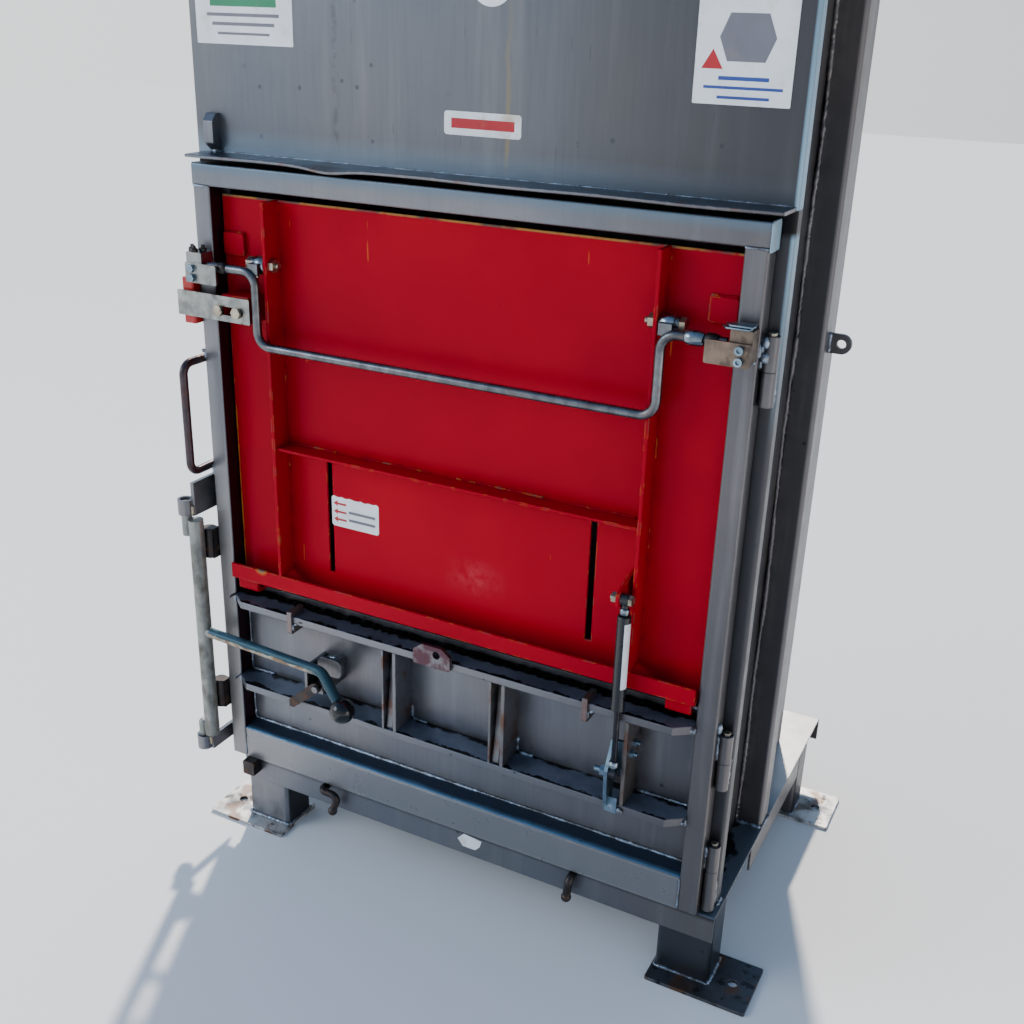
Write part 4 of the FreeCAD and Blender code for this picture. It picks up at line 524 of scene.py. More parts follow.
RED = (0.400, 0.0006, 0.014)
DEEP_RED = (0.285, 0.0004, 0.011)
ORANGE = (0.55, 0.16, 0.015)
RIM_WIDE = 0.0026
FRONT_PARTS = (-0.262, -0.266)
FLAP_MIDDLE = -0.0225
FLAP_SIDE, FLAP_SIDE_WORN = (0.3672, 0.3688), (0.86, 0.80)
FLAP_TOP = (1.0148, 1.0160)
SCUFF_X, SCUFF_Z = 0.011, 0.536
SCUFF_ACROSS, SCUFF_ALONG = (0.050, 0.008), (0.032, 0.006)


def red_paint(name, marks=None):
    """Red over orange primer: soft shade, painted shade and dirt in corners, and chipped edges that show
    primer and grey steel.
    """
    n = Nodes(name)
    cloud = n.patches(0.35, 0.65, 2.4, 4)
    n.body = n.mix(cloud, RED, DEEP_RED)
    n.coat((0.07, 0.0005, 0.004), n.specks(26, 0.07, 0.05), 0.8)
    # painted shade with dirt in inner corners
    n.coat((0.040, 0.001, 0.004), n.corners(0.020), n.patches(0.40, 0.62, 30, 5), 0.6)
    rim = n.edges(RIM_WIDE)
    chips = n.noise(34, 5)
    n.coat(ORANGE, rim, n.ramp(chips, 0.535, 0.555))
    n.coat((0.15, 0.125, 0.10), rim, n.ramp(chips, 0.575, 0.595))
    front = n.ramp(n.axis("Y"), *FRONT_PARTS)
    n.coat(ORANGE, n.specks(21, 0.30, 0.12), front)
    n.coat((0.13, 0.115, 0.095), n.specks(21, 0.24, 0.12), front)
    if marks:
        marks(n)
    n.bump(n.noise(260, 2), 0.00012, 0.4)
    shine = n.math("ADD", n.both(n.noise(18, 4), 0.16), 0.26)
    return n.finish(shine, 0.0, 0.05)


def flap_marks(n):
    """Flap sheet: worn side and top edges, orange scratches and a scuffed patch."""
    x, z = n.axis("X"), n.axis("Z")
    patchy = n.patches(0.46, 0.54, 16, 4)
    side = n.ramp(n.math("ABSOLUTE", n.math("ADD", x, -FLAP_MIDDLE)), *FLAP_SIDE)
    n.coat(ORANGE, side, patchy, n.ramp(z, *FLAP_SIDE_WORN))
    high = n.both(n.ramp(z, *FLAP_TOP), n.patches(0.36, 0.48, 34, 5))
    n.coat(n.mix(patchy, (0.11, 0.075, 0.062), (0.34, 0.17, 0.05)), high)
    n.coat((0.60, 0.10, 0.015), n.patches(0.765, 0.775, 9, 1, (16, 1, 1.2)), 0.8)
    across = n.ramp(n.away(x, SCUFF_X), *SCUFF_ACROSS)
    along = n.ramp(n.away(z, SCUFF_Z), *SCUFF_ALONG)
    n.coat((0.55, 0.055, 0.075), across, along, n.patches(0.36, 0.62, 70, 5), 0.45)


# ---- steel, plastic and print

TEAL = (0.022, 0.060, 0.076)
CREAM = (0.36, 0.33, 0.26)
LEVER_START, LEVER_BARE = (-0.430, -0.424), (-0.215, -0.240)
STAIN_WIDE = 0.020


def plated(name, colour, shade, rough=0.34, rust=0.25, stain=RUST, spots=0.3):
    """Zinc or bare steel with crystal-like clouding, scratches and stains."""
    n = Nodes(name)
    n.body = n.mix(n.patches(0.35, 0.68, 46, 5), colour, shade)
    rusty = n.both(n.patches(0.53, 0.66, 62, 6), rust)
    n.coat(stain, rusty)
    n.coat(BLACK, n.specks(90, 0.22, 0.14), spots)
    scratch = n.noise(320, 3, (1, 1, 0.08))
    n.bump(scratch, 0.00015, 0.4)
    uneven = n.math("ADD", n.both(scratch, 0.2), rough - 0.08)
    return n.finish(n.math("ADD", uneven, n.both(rusty, 0.35)), n.ramp(rusty, 1.1, 0.2))


def smooth_plastic(name, colour, rough=0.3, speck=0.1):
    """Moulded plastic or gloss paint with a slight change of sheen and fine specks."""
    n = Nodes(name)
    cloud = n.noise(55, 4)
    lighter = [c * 2.2 + 0.03 for c in colour]
    n.body = n.mix(n.both(n.ramp(cloud, 0.5, 0.75), speck), colour, lighter)
    n.bump(n.noise(600, 2), 0.00006, 0.4)
    return n.finish(n.math("ADD", n.both(cloud, 0.15), rough - 0.07))


def printed(name, colour, stain=0.3, stain_x=None):
    """Printed film: faded and a little dusty, with brown stains, more of them around stain_x."""
    n = Nodes(name)
    n.body = n.mix(n.patches(0.4, 0.7, 30, 4), colour, [c * 0.88 for c in colour])
    brown = n.both(n.patches(0.56, 0.72, 48, 5), stain)
    if stain_x is not None:
        near = n.ramp(n.away(n.axis("X"), stain_x), STAIN_WIDE, 0.0)
        brown = n.math("MAXIMUM", brown, n.both(near, n.patches(0.35, 0.6, 60, 4), 0.7))
    n.coat((0.45, 0.30, 0.14), brown)
    n.bump(n.noise(150, 2), 0.00008, 0.3)
    return n.finish(n.math("ADD", n.both(n.noise(25, 3), 0.2), 0.30), 0, 0.35)


def lock_finish():
    """The lock: a galvanized shaft with dark smudges, the lever blue with a painted sky reflection on top
    and bare cream below.
    """
    n = Nodes("lock_finish")
    zinc = n.mix(n.patches(0.35, 0.68, 36, 5), (0.30, 0.305, 0.28), (0.19, 0.20, 0.19))
    smudge = n.both(n.patches(0.50, 0.62, 21, 6, (1, 1, 0.6)), 0.85)
    zinc = n.mix(smudge, zinc, (0.055, 0.050, 0.036))
    blue = n.mix(n.patches(0.40, 0.66, 24, 5), TEAL, (0.020, 0.050, 0.075))
    # painted sky reflection on the top of the lever
    light = n.both(n.faces("Z", 0.70, 0.98), n.patches(0.35, 0.6, 30, 4), 0.5)
    blue = n.mix(light, blue, (0.09, 0.20, 0.27))
    under = n.math("ADD", n.facing("Z"), n.wobble(1.6, 36, 5))
    bare = n.both(n.ramp(under, 0.26, 0.06), n.ramp(n.axis("X"), *LEVER_BARE))
    cream = n.mix(n.patches(0.45, 0.6, 70, 4), CREAM, (0.20, 0.12, 0.07))
    blue = n.mix(bare, blue, cream)
    n.body = n.mix(n.ramp(n.axis("X"), *LEVER_START), zinc, blue)
    n.bump(n.noise(240, 3), 0.00015, 0.4)
    return n.finish(n.math("ADD", n.both(n.noise(50, 4), 0.25), 0.28), 0.55, 0.4)


# ---- the finishes of this machine

GREY_PAINTS = {
    "grey_paint": dict(),
    "panel_paint": dict(
        warm=0.55, streak=0.45, dirt=0.6, top=0.3, wear=0.3, rough=0.40, marks=panel_marks),
    "lip_paint": dict(warm=0.3, streak=0.2, dirt=0.9, top=0.95, wear=1.0, rust=0.4),
    "pan_paint": dict(warm=0.4, streak=0.2, dirt=0.6, top=0.8, wear=0.5, marks=pan_marks),
    "leg_paint": dict(warm=0.5, streak=0.2, dirt=0.7, top=0.5, wear=0.5, marks=foot_marks),
    "shelf_paint": dict(warm=0.25, streak=0.1, dirt=0.8, top=0.95, wear=0.7, marks=shelf_marks),
    "rail_paint": dict(
        warm=0.3, streak=0.2, dirt=0.5, top=0.2, wear=0.1, rough=0.30, soft=0.006, marks=rail_marks),
    "rusty_paint": dict(warm=0.9, streak=0.2, dirt=0.8, top=0.4, wear=0.8, rust=0.75),
    "stile_paint": dict(marks=stile_marks),
    "top_rail_paint": dict(warm=0.3, streak=0.2, dirt=0.6, top=0.5, wear=0.8, marks=top_rail_marks),
    "tab_paint": dict(warm=0.9, streak=0.1, dirt=0.8, top=0.2, wear=0.8, rust=0.5, marks=tab_marks),
    "inner_paint": dict(warm=0.2, streak=0.1, dirt=0.4, top=0.5, wear=0.2, rust=0.2, rough=0.5),
    "weld": dict(warm=0.1, streak=0.0, dirt=0.5, top=0.0, wear=0.9, rough=0.30, marks=weld_marks),
}
RED_PAINTS = {"flap_paint": dict(marks=flap_marks), "red_paint": dict()}
STEELS = {
    "zinc": dict(
        colour=(0.33, 0.34, 0.32), shade=(0.17, 0.18, 0.175), rust=0.35, stain=(0.07, 0.06, 0.045),
        spots=0.6),
    "keeper_bronze": dict(
        colour=(0.23, 0.175, 0.135), shade=(0.10, 0.078, 0.065), rough=0.42, rust=0.8,
        stain=(0.045, 0.030, 0.022), spots=0.8),
    "blue_zinc": dict(colour=(0.26, 0.36, 0.42), shade=(0.13, 0.19, 0.25), rust=0.1),
    "cream_zinc": dict(colour=(0.46, 0.41, 0.31), shade=(0.20, 0.18, 0.14), rust=0.25, spots=0.5),
    "bright_steel": dict(colour=(0.165, 0.175, 0.19), shade=(0.075, 0.080, 0.088), rough=0.27),
    "sleeve_steel": dict(colour=(0.34, 0.40, 0.45), shade=(0.13, 0.16, 0.19), rough=0.20),
    "handle_paint": dict(
        colour=(0.085, 0.062, 0.068), shade=(0.045, 0.040, 0.048), rough=0.36, rust=0.3),
    "dark_iron": dict(
        colour=(0.060, 0.052, 0.050), shade=(0.030, 0.028, 0.030), rough=0.42, rust=0.5),
    "chrome_rod": dict(colour=(0.05, 0.05, 0.055), shade=(0.025, 0.025, 0.03), rough=0.22, rust=0.05),
    # the colour of the band of painted shadow and dirt on the top shelf
    "grime": dict(
        colour=GRIME_AND_SHADE, shade=(0.004, 0.004, 0.005), rough=0.6, rust=0.2, stain=(0.06, 0.05, 0.04)),
}
PLASTICS = {
    # painted pale blue for the sky that the rail's end plate reflects
    "sky_paint": dict(colour=(0.23, 0.33, 0.40), rough=0.40, speck=0.15),
    "black_ball": dict(colour=(0.0025, 0.0035, 0.005), rough=0.16, speck=0.02),
    "black_paint": dict(colour=(0.009, 0.010, 0.012), rough=0.28, speck=0.05),
    "start_green": dict(colour=(0.01, 0.17, 0.04)),
    "return_white": dict(colour=(0.55, 0.55, 0.52)),
    "stop_red": dict(colour=(0.40, 0.004, 0.004)),
    "box_grey": dict(colour=(0.36, 0.37, 0.37), rough=0.45, speck=0.15),
}
PRINTS = {
    "label_white": dict(colour=(0.82, 0.85, 0.88)),
    "stained_white": dict(colour=(0.82, 0.85, 0.88), stain=0.4, stain_x=0.040),
    "label_red": dict(colour=(0.45, 0.02, 0.03), stain=0.1),
    "label_blue": dict(colour=(0.03, 0.07, 0.30), stain=0.1),
    "label_green": dict(colour=(0.02, 0.22, 0.10), stain=0.1),
    "label_grey": dict(colour=(0.16, 0.16, 0.19), stain=0.1),
}
NODE_FINISH = {
    "front_sheet": "panel_paint", "drip_lip": "lip_paint", "base_pan": "pan_paint",
    "legs": "leg_paint", "top_shelf": "shelf_paint", "middle_shelf": "shelf_paint",
    "door_bottom_rail": "rail_paint", "shelf_tabs": "tab_paint", "strap_guides": "rusty_paint",
    "door_rest": "dark_iron", "door_stile_left": "stile_paint", "door_top_rail": "top_rail_paint",
    "flap_panel": "flap_paint", "catch_pawl": "dark_iron", "strap_hooks": "dark_iron",
    "keeper_right": "keeper_bronze", "strut_gusset": "blue_zinc", "door_fasteners": "blue_zinc",
    "flap_bolts": "cream_zinc", "hinge_pins": "cream_zinc", "pull_handle": "handle_paint",
    "rear_wall": "inner_paint", "platen_guides": "inner_paint", "press_platen": "inner_paint",
    "lock_rollers": "dark_iron", "flap_sensor": "stop_red",
}


def make_materials():
    """One material for each finish on the machine, under the finish's name."""
    made = {"lever_paint": lock_finish()}
    for maker, table in (
            (metal_paint, GREY_PAINTS), (red_paint, RED_PAINTS), (plated, STEELS),
            (smooth_plastic, PLASTICS), (printed, PRINTS)):
        for name, settings in table.items():
            made[name] = maker(name, **settings)
    return made


materials = make_materials()


def dress_nodes():
    """Gives every carried-over CAD node its material."""
    slots = {row["node"]: row["material_slot"] for row in frame["record"]["subparts"]}
    for name, node in nodes.items():
        node.data.materials.clear()
        node.data.materials.append(materials[NODE_FINISH.get(name, slots[name])])


# ---- mesh building blocks, in mm

BEAD_SIDES = 8
BEAD_PITCH = 0.6
BEAD_NARROW, BEAD_BROAD, BEAD_CHANGE = 0.6, 1.25, 0.16
BEAD_VALLEY, BEAD_CREST = 0.90, 1.06
BEAD_SHIFT = 0.18
BLOB_SMALL, BLOB_LARGE = 0.82, 1.12


def bridge(bm, rings):
    """Closes a row of rings of points into a solid."""
    count = len(rings[0])
    for first, second in zip(rings, rings[1:]):
        for turn in range(count):
            after = (turn + 1) % count
            bm.faces.new((first[turn], first[after], second[after], second[turn]))
    bm.faces.new(list(reversed(rings[0])))
    bm.faces.new(rings[-1])


def bead(bm, start, end, radius, seed):
    """A weld bead: overlapping ripples of uneven width along a line, thinner at its ends."""
    chance = random.Random(seed)
    start, end = Vector(start) * MM, Vector(end) * MM
    run = end - start
    size = radius * MM
    count = max(4, int(run.length / (size * BEAD_PITCH)))
    side = run.orthogonal().normalized()
    other = run.normalized().cross(side)
    rings = []
    wide = 1.0
    for step in range(count + 1):
        wide = min(BEAD_BROAD, max(BEAD_NARROW, wide + chance.uniform(-BEAD_CHANGE, BEAD_CHANGE)))
        taper = min(1.0, 0.45 + 0.4 * min(step, count - step))
        reach = size * wide * taper * (BEAD_VALLEY if step % 2 else BEAD_CREST)
        shift = (side * chance.uniform(-BEAD_SHIFT, BEAD_SHIFT)
                 + other * chance.uniform(-BEAD_SHIFT, BEAD_SHIFT))
        centre = start + run * (step / count) + shift * size
        angles = [2 * math.pi * turn / BEAD_SIDES for turn in range(BEAD_SIDES)]
        rings.append([
            bm.verts.new(centre + (side * math.cos(angle) + other * math.sin(angle)) * reach)
            for angle in angles])
    bridge(bm, rings)


def beads(bm, rows):
    """Weld beads from rows of start, end, radius and seed."""
    for start, end, radius, seed in rows:
        bead(bm, start, end, radius, seed)


def blob(bm, centre, size, seed):
    """A lump of weld metal."""
    chance = random.Random(seed)
    made = bmesh.ops.create_icosphere(bm, subdivisions=2, radius=1.0)
    for vert in made["verts"]:
        swell = chance.uniform(BLOB_SMALL, BLOB_LARGE)
        vert.co = Vector([centre[i] * MM + vert.co[i] * size[i] * MM * swell for i in range(3)])


def lathe(bm, place, axis, profile, sides=24):
    """A turned part: the profile lists the distance along the axis and the radius."""
    axis = Vector(axis).normalized()
    side = axis.orthogonal().normalized()
    other = axis.cross(side)
    place = Vector(place) * MM
    angles = [2 * math.pi * turn / sides for turn in range(sides)]
    rings = []
    for reach, radius in profile:
        centre = place + axis * reach * MM
        rings.append([
            bm.verts.new(centre + (side * math.cos(angle) + other * math.sin(angle)) * radius * MM)
            for angle in angles])
    bridge(bm, rings)


def nut(bm, place, axis, across, height, stud):
    """A hexagonal nut with turned corners, on a stud that stands out of it."""
    corner = across / math.sqrt(3)
    lathe(bm, place, axis, [
        (0, corner * 0.94), (0.8, corner), (height - 0.8, corner), (height, corner * 0.9)], 6)
    lathe(bm, place, axis, [
        (0, across * 0.30), (height + stud - 0.8, across * 0.30), (height + stud, across * 0.24)], 16)


def slab(bm, points, depth, material=0):
    """A thin plate with an outline in space, thickened by a vector."""
    low = [bm.verts.new(Vector(point) * MM) for point in points]
    high = [bm.verts.new((Vector(point) + Vector(depth)) * MM) for point in points]
    faces = [bm.faces.new(low), bm.faces.new(list(reversed(high)))]
    for index in range(len(points)):
        after = (index + 1) % len(points)
        faces.append(bm.faces.new((low[after], low[index], high[index], high[after])))
    for face in faces:
        face.material_index = material


def piece(name, bm, body, slot, *finishes, bevel=0.0, smooth=True):
    """Turns a mesh into a named piece that rides on a body."""
    bmesh.ops.recalc_face_normals(bm, faces=bm.faces[:])
    mesh = bpy.data.meshes.new(name)
    bm.to_mesh(mesh)
    bm.free()
    for polygon in mesh.polygons:
        polygon.use_smooth = smooth
    for finish in finishes:
        mesh.materials.append(materials[finish])
    thing = show(name, mesh)
    if bevel:
        rounding = thing.modifiers.new("soft_edges", "BEVEL")
        rounding.width = bevel * MM
        rounding.segments = 2
        rounding.limit_method = "ANGLE"
    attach(thing, body)
    return thing


# ---- labels

LABEL_THICK = 0.35
FLAP_Y = -236.5
PANEL_Y = -227.5
TAPE_Y = -254.6
CORNER_STEPS = 4
TORN_STEPS, TORN_DEEP = 11, 3.2
ARROW_TIP, ARROW_NECK, ARROW_TAIL = -223, -216, -201
ARROW_HALF, SHAFT_HALF = 4.6, 1.6
ARROW_ROWS = (599, 586.5, 574.5)
STRUT_X, STRUT_Y = 252, -286.5
WRAP_RADIUS, WRAP_THICK, WRAP_LOW, WRAP_HIGH = 9.1, 0.25, 462, 556
WRAP_START, WRAP_STEP, WRAP_STEPS = -62, 8, 8


def flat(y, *corners):
    """Corners given as x and z, on a plane that faces the front."""
    return [(x, y, z) for x, z in corners]


def backing(bm, left, right, low, high, radius, y, torn=None):
    """The rounded white film of a label that faces the front, its top edge torn if asked."""
    points = []
    for x, z, start in (
            (right - radius, high - radius, 0), (left + radius, high - radius, 90),
            (left + radius, low + radius, 180), (right - radius, low + radius, 270)):
        for step in range(CORNER_STEPS + 1):
            angle = math.radians(start + step * 90 / CORNER_STEPS)
            points.append((x + radius * math.cos(angle), y, z + radius * math.sin(angle)))
        if torn and start == 0:
            chance = random.Random(torn)
            for step in range(1, TORN_STEPS):
                points.append((
                    right - radius - (right - left - 2 * radius) * step / TORN_STEPS, y,
                    high - chance.uniform(0.0, TORN_DEEP)))
    slab(bm, points, (0, -LABEL_THICK, 0))


def shape(bm, points, material):
    """A coloured shape printed on a label."""
    slab(bm, points, (0, -LABEL_THICK / 2, 0), material)


def bars(bm, rows, y, material):
    """Plain bars on a label, from rows of left, right, low and high."""
    for left, right, low, high in rows:
        shape(bm, flat(y, (left, low), (right, low), (right, high), (left, high)), material)


def label(name, bm, body, *finishes):
    """Turns a label's mesh into a piece with sharp faces."""
    piece(name, bm, body, "return_white", *finishes, smooth=False)


def build_flap_label():
    """The torn label on the flap: three arrows to the left and two plain bars."""
    bm = bmesh.new()
    backing(bm, -226, -146, 563.5, 610, 4, FLAP_Y, torn=7)
    face = FLAP_Y - LABEL_THICK
    for z in ARROW_ROWS:
        shape(bm, flat(
            face, (ARROW_TIP, z), (ARROW_NECK, z - ARROW_HALF), (ARROW_NECK, z - SHAFT_HALF),
            (ARROW_TAIL, z - SHAFT_HALF), (ARROW_TAIL, z + SHAFT_HALF), (ARROW_NECK, z + SHAFT_HALF),
            (ARROW_NECK, z + ARROW_HALF)), 1)
    bars(bm, [(-197, -152, 586.5, 590.5), (-197, -152, 574.5, 578.5)], face, 2)
    label("flap_label", bm, "feed_flap", "label_white", "label_red", "label_grey")


def build_sheet_labels():
    """The labels of the front sheet: a small one with a red bar, two large ones and a round one."""
    face = PANEL_Y - LABEL_THICK
    bm = bmesh.new()
    backing(bm, -48, 57, 1118.5, 1146, 4, PANEL_Y)
    bars(bm, [(-38, 48, 1126.5, 1138)], face, 1)
    label("force_label", bm, "root", "stained_white", "label_red")
    bm = bmesh.new()
    backing(bm, -424.5, -269.5, 1208.5, 1330, 1.5, PANEL_Y)
    bars(bm, [(-400, -294, 1254, 1266)], face, 1)
    bars(bm, [(-406, -290, 1242, 1246), (-398, -298, 1231, 1235), (-390, -306, 1220, 1223)], face, 2)
    label("poster_left", bm, "root", "label_white", "label_green", "label_grey")
    bm = bmesh.new()
    backing(bm, 264.5, 373.5, 1172, 1330, 1.5, PANEL_Y)
    shape(bm, flat(
        face, (300, 1216), (342, 1216), (352, 1240), (342, 1264), (300, 1264), (290, 1240)), 1)
    shape(bm, flat(face, (272, 1208), (296, 1208), (284, 1228)), 2)
    bars(bm, [(292, 348, 1197, 1201), (276, 364, 1188, 1191), (292, 350, 1178, 1181)], face, 3)
    label("poster_right", bm, "root", "label_white", "label_grey", "label_red", "label_blue")
    bm = bmesh.new()
    lathe(bm, (14, PANEL_Y, 1292), (0, -1, 0), [(0, 29.5), (LABEL_THICK, 29.3)], 40)
    label("round_label", bm, "root", "label_white")


def build_tape_scrap():
    """A torn scrap of white tape on the base pan's front."""
    bm = bmesh.new()
    slab(bm, flat(
        TAPE_Y, (-1, 105), (10, 116.5), (40, 113), (37, 102), (30, 94), (8, 93.5), (4, 99)), (0, -0.5, 0))
    label("tape_scrap", bm, "root", "label_white")


def build_strut_label():
    """The white label around the right front of the gas strut's cylinder."""
    bm = bmesh.new()
    angles = [math.radians(WRAP_START + step * WRAP_STEP) for step in range(WRAP_STEPS + 1)]
    points = [
        (STRUT_X + WRAP_RADIUS * math.cos(angle), STRUT_Y + WRAP_RADIUS * math.sin(angle))
        for angle in angles]
    for angle, (x0, y0), (x1, y1) in zip(angles, points, points[1:]):
        slab(bm, [
            (x0, y0, WRAP_LOW), (x1, y1, WRAP_LOW), (x1, y1, WRAP_HIGH), (x0, y0, WRAP_HIGH),
        ], (WRAP_THICK * math.cos(angle), WRAP_THICK * math.sin(angle), 0))
    label("strut_label", bm, "gas_strut_tube", "label_white")


# ---- weld beads

COLUMN_X, COLUMN_FOOT, COLUMN_RUN, COLUMN_RUNS = 360.5, 124, 126, 12
COLUMN_SHIFTS = (0.0, 2.5, 1.0, 4.0, 2.0)
FOOT_TOP = 5.5
SHEET_Y = -235
SHELF_ROOT, MIDDLE_SHELF_ROOT, TOP_SHELF_ROOT = 277, 270, 413
PANEL_LEFT, PANEL_END = -391.5, 346.5
STILE_LEFT, STILE_RIGHT = -394.5, 349.5
JOINT_Y, JOINT_Z = -260.8, 1029.5
JOINT_LOW, JOINT_HIGH = 126, 173
BEARING_HEIGHTS = (793, 618)
KEEPER_Y, KEEPER_Z = -261.5, 904
FLAP_WELD_Y = -237.3
RIB_Z, ANGLE_Z = 677, 456
PAD_Y, PAD_LOW, PAD_TOP = -238, 938, 968

FRAME_BEADS = (
    ((361, -29.5, 123.5), (400, -29.5, 123.5), 3.4, 2),
    ((401, -29, 123.5), (401, 12, 123.5), 2.6, 3),
    ((396, -227, 123.5), (396, -208, 123.5), 3.6, 4),
    ((-411, -228, 1072.5), (-397, -228, 1072.5), 2.6, 5),
    ((-396, -242, 1072.5), (-396, -229, 1072.5), 2.0, 6),
    ((-418, -228, 1072), (392, -228, 1072), 1.3, 7),
    ((401, -4, 861.5), (401, -4, 887), 2.2, 8),
)
DOOR_JOINT_BEADS = (
    ((350, JOINT_Y, JOINT_Z), (377, JOINT_Y, JOINT_Z), 1.2, 960),
    ((-422, JOINT_Y, JOINT_Z), (-395, JOINT_Y, JOINT_Z), 1.2, 961),
    ((-422.5, -258, JOINT_Z), (-422.5, -232, JOINT_Z), 2.2, 962),
    ((STILE_LEFT, JOINT_Y, JOINT_LOW), (STILE_LEFT, JOINT_Y, JOINT_HIGH), 1.3, 963),
    ((STILE_RIGHT, JOINT_Y, JOINT_LOW), (STILE_RIGHT, JOINT_Y, JOINT_HIGH), 1.3, 964),
)
CATCH_BEADS = (
    ((-227, -236, 340), (-212, -236, 322), 3.6, 980),
    ((-256, -236, 335), (-226, -236, 340), 3.2, 981),
)
KEEPER_BEADS = (
    ((-420, KEEPER_Y, KEEPER_Z), (-396, KEEPER_Y, KEEPER_Z), 2.4, 990),
    ((351, KEEPER_Y, KEEPER_Z), (376, KEEPER_Y, KEEPER_Z), 2.6, 991),
)


def build_frame_welds():
    """Beads along the column, around the feet and at the front sheet's edges."""
    column = bmesh.new()
    for step in range(COLUMN_RUNS):
        low = COLUMN_FOOT + step * COLUMN_RUN
        left, right = [
            COLUMN_X + COLUMN_SHIFTS[number % len(COLUMN_SHIFTS)] for number in (step, step + 1)]
        bead(column, (left, -29, low - 4), (right, -29, low + 130), 3.4, 400 + step)
    piece("column_weld", column, "root", "grey_paint", "grey_paint")
    root = bmesh.new()
    beads(root, FRAME_BEADS)
    seed = 10
    for left, right in ((-402, -322), (322, 402)):
        for y0, y1 in ((-251.5, -191.5), (192, 252)):
            beads(root, (
                ((left, y0 - 0.5, FOOT_TOP), (right, y0 - 0.5, FOOT_TOP), 2.6, seed),
                ((right + 0.5, y0, FOOT_TOP), (right + 0.5, y1, FOOT_TOP), 2.6, seed + 1),
                ((left - 0.5, y0, FOOT_TOP), (left - 0.5, y1, FOOT_TOP), 2.4, seed + 2)))
            seed += 3
    for low in (850, 325, 127):
        bead(root, (392, -229, low), (392, -229, low + 40), 2.2, seed)
        seed += 1
    piece("frame_welds", root, "root", "grey_paint", "weld")


def weld_shelves(door):
    """Beads where the shelves and strips meet the lower door sheet and the stiles."""
    bead(door, (-393, -234.6, 184.8), (348, -234.6, 184.8), 2.4, 40)
    for left, right, size in (
            (-392, -348, 3.2), (-130, -121, 3.0), (-91, -66, 3.0), (66, 76, 2.6), (88, 110, 2.8),
            (268, 347, 2.6)):
        bead(door, (left, SHEET_Y, SHELF_ROOT), (right, SHEET_Y, SHELF_ROOT), size, 41 + right)
    for x in (PANEL_LEFT, PANEL_END):
        bead(door, (x, SHEET_Y, SHELF_ROOT + 1), (x, SHEET_Y, 405), 2.0, 300 + int(x))
        bead(door, (x, SHEET_Y, 186), (x, SHEET_Y, 262), 2.0, 301 + int(x))
    for x, high in ((-92, 300), (-118, 296), (85, 302), (59, 298)):
        bead(door, (x, SHEET_Y, SHELF_ROOT + 1), (x, SHEET_Y, high), 2.4, 700 + x)
    for x in (STILE_LEFT, STILE_RIGHT):
        for z in (TOP_SHELF_ROOT, MIDDLE_SHELF_ROOT):
            bead(door, (x, -277, z + 6), (x, -262, z + 7), 2.2, 900 + int(x + z))
            bead(door, (x, -262, z - 6), (x, -262, z + 6), 2.2, 901 + int(x + z))


def weld_fittings(door):
    """Beads and lumps at the rail joints, tabs, catch, lock bearings, keepers, hinges and gusset."""
    beads(door, DOOR_JOINT_BEADS)
    for x in (-273, 208):
        bead(door, (x + 1, -278, 406), (x + 8, -279.5, 409), 2.8, 970 + x)
        bead(door, (x, -279.8, 396), (x, -279.8, 407), 2.0, 971 + x)
    beads(door, CATCH_BEADS)
    blob(door, (382, -248, 925), (5, 5, 8), 34)
    blob(door, (383, -250, 908), (6, 4, 7), 35)
    blob(door, (376, -256, 916), (4, 3, 9), 36)
    for z in BEARING_HEIGHTS:
        bead(door, (-428.5, -259, z + 6), (-421, -259, z + 6), 2.4, 982 + z)
        bead(door, (-422, -259, z - 6), (-422, -259, z + 6), 2.4, 983 + z)
    beads(door, KEEPER_BEADS)
    for low in (892, 367, 193):
        bead(door, (378, -247, low + 2), (378, -247, low + 38), 2.4, 992 + low)
    blob(door, (379, -250, 418), (3.4, 5, 9), 31)
    blob(door, (251, -281, 272), (8, 3, 7), 32)
    blob(door, (262, -281, 268), (6, 2.6, 5), 33)


def build_door_welds():
    """All the weld metal on the door's frame and sheet."""
    door = bmesh.new()
    weld_shelves(door)
    weld_fittings(door)
    piece("door_welds", door, "main_door", "grey_paint", "weld")


def build_flap_welds():
    """Broken beads along the flap's rib, bottom angle and uprights, and around its pads."""
    flap = bmesh.new()
    y = FLAP_WELD_Y
    for left, right in ((-292, -215), (-170, -60), (-20, 110), (150, 240)):
        bead(flap, (left, y, RIB_Z), (right, y, RIB_Z), 1.7, 1200 + left)
    for left, right in ((-385, -320), (-290, -200), (-150, -40), (0, 120), (190, 245), (275, 320)):
        bead(flap, (left, y, ANGLE_Z), (right, y, ANGLE_Z), 1.8, 1300 + left)
    for x in (-303.5, -298.5, 253.5, 258.5):
        for low in (480, 640, 760, 860, 985):
            bead(flap, (x, y, low), (x, y, low + 28), 1.7, int(1500 + x + low))
    for left, right in ((-389.5, -355.5), (310.5, 344.5)):
        high = PAD_TOP + 0.5
        bead(flap, (left, PAD_Y, high), (right, PAD_Y, high), 1.8, 1900 + int(left))
        bead(flap, (left, PAD_Y, PAD_LOW), (left, PAD_Y, PAD_TOP), 1.6, 1901 + int(left))
    piece("flap_welds", flap, "feed_flap", "red_paint", "red_paint")


# ---- lip and fittings

